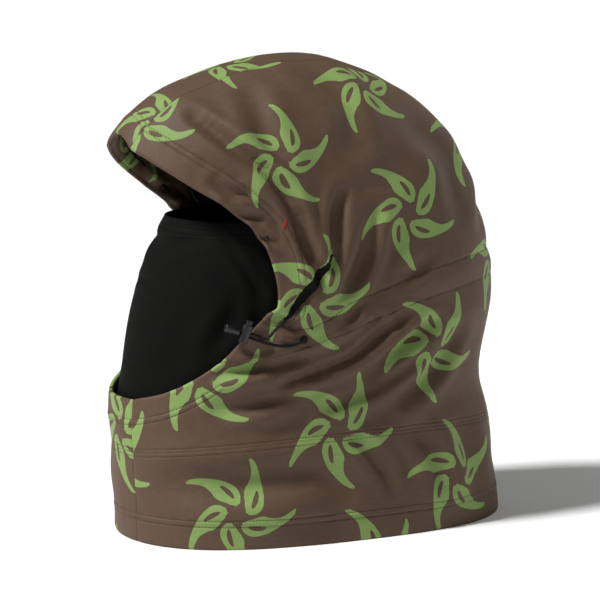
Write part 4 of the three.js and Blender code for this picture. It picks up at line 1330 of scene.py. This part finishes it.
BODY_CUT = ((0.047, 0.081), 0)  # the print runs on over the top-stitched lines of the body
cuts = {"side_cloth": BODY_CUT, "channel_cloth": BODY_CUT, "neck_cloth": BODY_CUT,
        "gaiter_cloth": BODY_CUT, "crown_cloth": ((0.012, 0.050), 4),
        "front_cloth": ((0.041, 0.012), 12)}
for key, (start, turned) in cuts.items():
    knit = printed_knit(key.replace("_cloth", "_print"), start, turned)
    for piece in printed:
        if piece.name.startswith(key):
            piece.data.materials.append(knit)
print(len(cuts), "cuts of the printed knit")

# %% [markdown]
# ## The plain finishes
# The lining and the mask are black knits with the same ribs and nap as the print, but closer and
# almost without gloss. Thread and braid get a twist from a wave in space, since their grains have
# no flat pattern. The locks are moulded plastic with a fine grain and slightly scuffed patches.

# %% Plain cloths, threads and hardware
def plain_knit(name, dark, light, across=1700.0, depth=0.3):
    made = Finish(name, Sheen_Weight=0.0, Specular_IOR_Level=0.08)
    flat = made.node("ShaderNodeUVMap", dict(uv_map="flat"))[0]
    bump, hairs = knit_bump(made, flat, across, across * 1.2, depth)
    slow = made.node("ShaderNodeTexNoise", {}, {"Scale": 35.0, "Detail": 2.0})[0]
    colour = made.mix(slow * 0.6 + hairs * 0.4, dark, light)
    return made.set(Base_Color=colour, Roughness=hairs * 0.15 + 0.72, Normal=bump)


def thread_finish(name, dark, light, twist=900.0):
    made = Finish(name, Specular_IOR_Level=0.2)
    place = made.node("ShaderNodeTexCoord")[3]
    plies = made.node("ShaderNodeTexWave", {}, {"Vector": place, "Scale": twist,
                                               "Distortion": 2.0})[1]
    bump = made.node("ShaderNodeBump", {}, {"Strength": 0.4, "Distance": 0.0002,
                                            "Height": plies})[0]
    return made.set(Base_Color=made.mix(plies, dark, light), Roughness=plies * 0.2 + 0.5,
                    Normal=bump)


def moulded_plastic(name, colour, scuffed):
    made = Finish(name, Specular_IOR_Level=0.5)
    place = made.node("ShaderNodeTexCoord")[3]
    grain = made.node("ShaderNodeTexNoise", {}, {"Vector": place, "Scale": 2200.0,
                                                "Detail": 2.0})[0]
    wear = made.node("ShaderNodeTexNoise", {}, {"Vector": place, "Scale": 160.0,
                                               "Detail": 4.0})[0]
    bump = made.node("ShaderNodeBump", {}, {"Strength": 0.25, "Distance": 0.0001,
                                            "Height": grain})[0]
    return made.set(Base_Color=made.mix(wear, colour, scuffed), Roughness=wear * 0.25 + 0.28,
                    Normal=bump)


print("plain finishes ready")

# %% Give each piece its finish
lining_cloth = plain_knit("brushed_lining", srgb(12, 12, 11), srgb(24, 23, 22))
mask_cloth = plain_knit("mask_jersey", srgb(7, 7, 6), srgb(13, 12, 11), 2100.0, 0.35)
braid = thread_finish("braided_cord", srgb(8, 8, 8), srgb(20, 20, 19), 1400.0)
seam_thread = thread_finish("brown_thread", srgb(44, 33, 25), srgb(72, 56, 43))
black_thread = thread_finish("black_thread", srgb(12, 12, 12), srgb(30, 30, 29))
red_thread = thread_finish("red_thread", srgb(128, 22, 30), srgb(176, 42, 48))
plastic = moulded_plastic("black_plastic", srgb(8, 8, 8), srgb(18, 18, 17))
steel = Finish("spring_steel", Metallic=1.0)
polish = steel.node("ShaderNodeTexNoise", {}, {"Scale": 900.0})[0]
steel.set(Base_Color=steel.mix(polish, srgb(150, 150, 148), srgb(190, 190, 188)),
          Roughness=polish * 0.2 + 0.2)

for piece in linings:
    piece.data.materials.append(lining_cloth)
for piece in (mask_piece, band_piece):
    piece.data.materials.append(mask_cloth)
for side, _ in SIDES:
    # painted shade: the black sheet in each cheek fold gets the black lining knit
    bpy.data.objects[f"cheek_insert_{side}"].data.materials.append(lining_cloth)
    threads[f"tack_{side}"].data.materials.append(red_thread)
threads["panel"].data.materials.append(seam_thread)
threads["mask"].data.materials.append(black_thread)
for piece, *_ in cords:
    piece.data.materials.append(braid)


def refinish(node, material):
    thing = frame["nodes"][node]
    if not thing.material_slots:
        thing.data.materials.append(material)
    for s in thing.material_slots:
        s.material = material


for side, _ in SIDES:
    for node in ("lock_body", "lock_button", "cord_end"):
        refinish(f"{node}_{side}", plastic)
    springs[side].data.materials.clear()
    springs[side].data.materials.append(steel.material)
    refinish(f"eyelet_{side}", black_thread)
for node in ("rear_cord", "brim_cord"):
    refinish(node, braid)

pale = Finish("pale_floor", Specular_IOR_Level=0.2)
tone = pale.node("ShaderNodeTexNoise", {}, {"Scale": 3.0})[0]
floor.data.materials.append(pale.set(Base_Color=pale.mix(tone, srgb(243, 243, 243),
                                                         srgb(246, 246, 246)),
                                     Roughness=tone * 0.05 + 0.85))
print("finishes set")
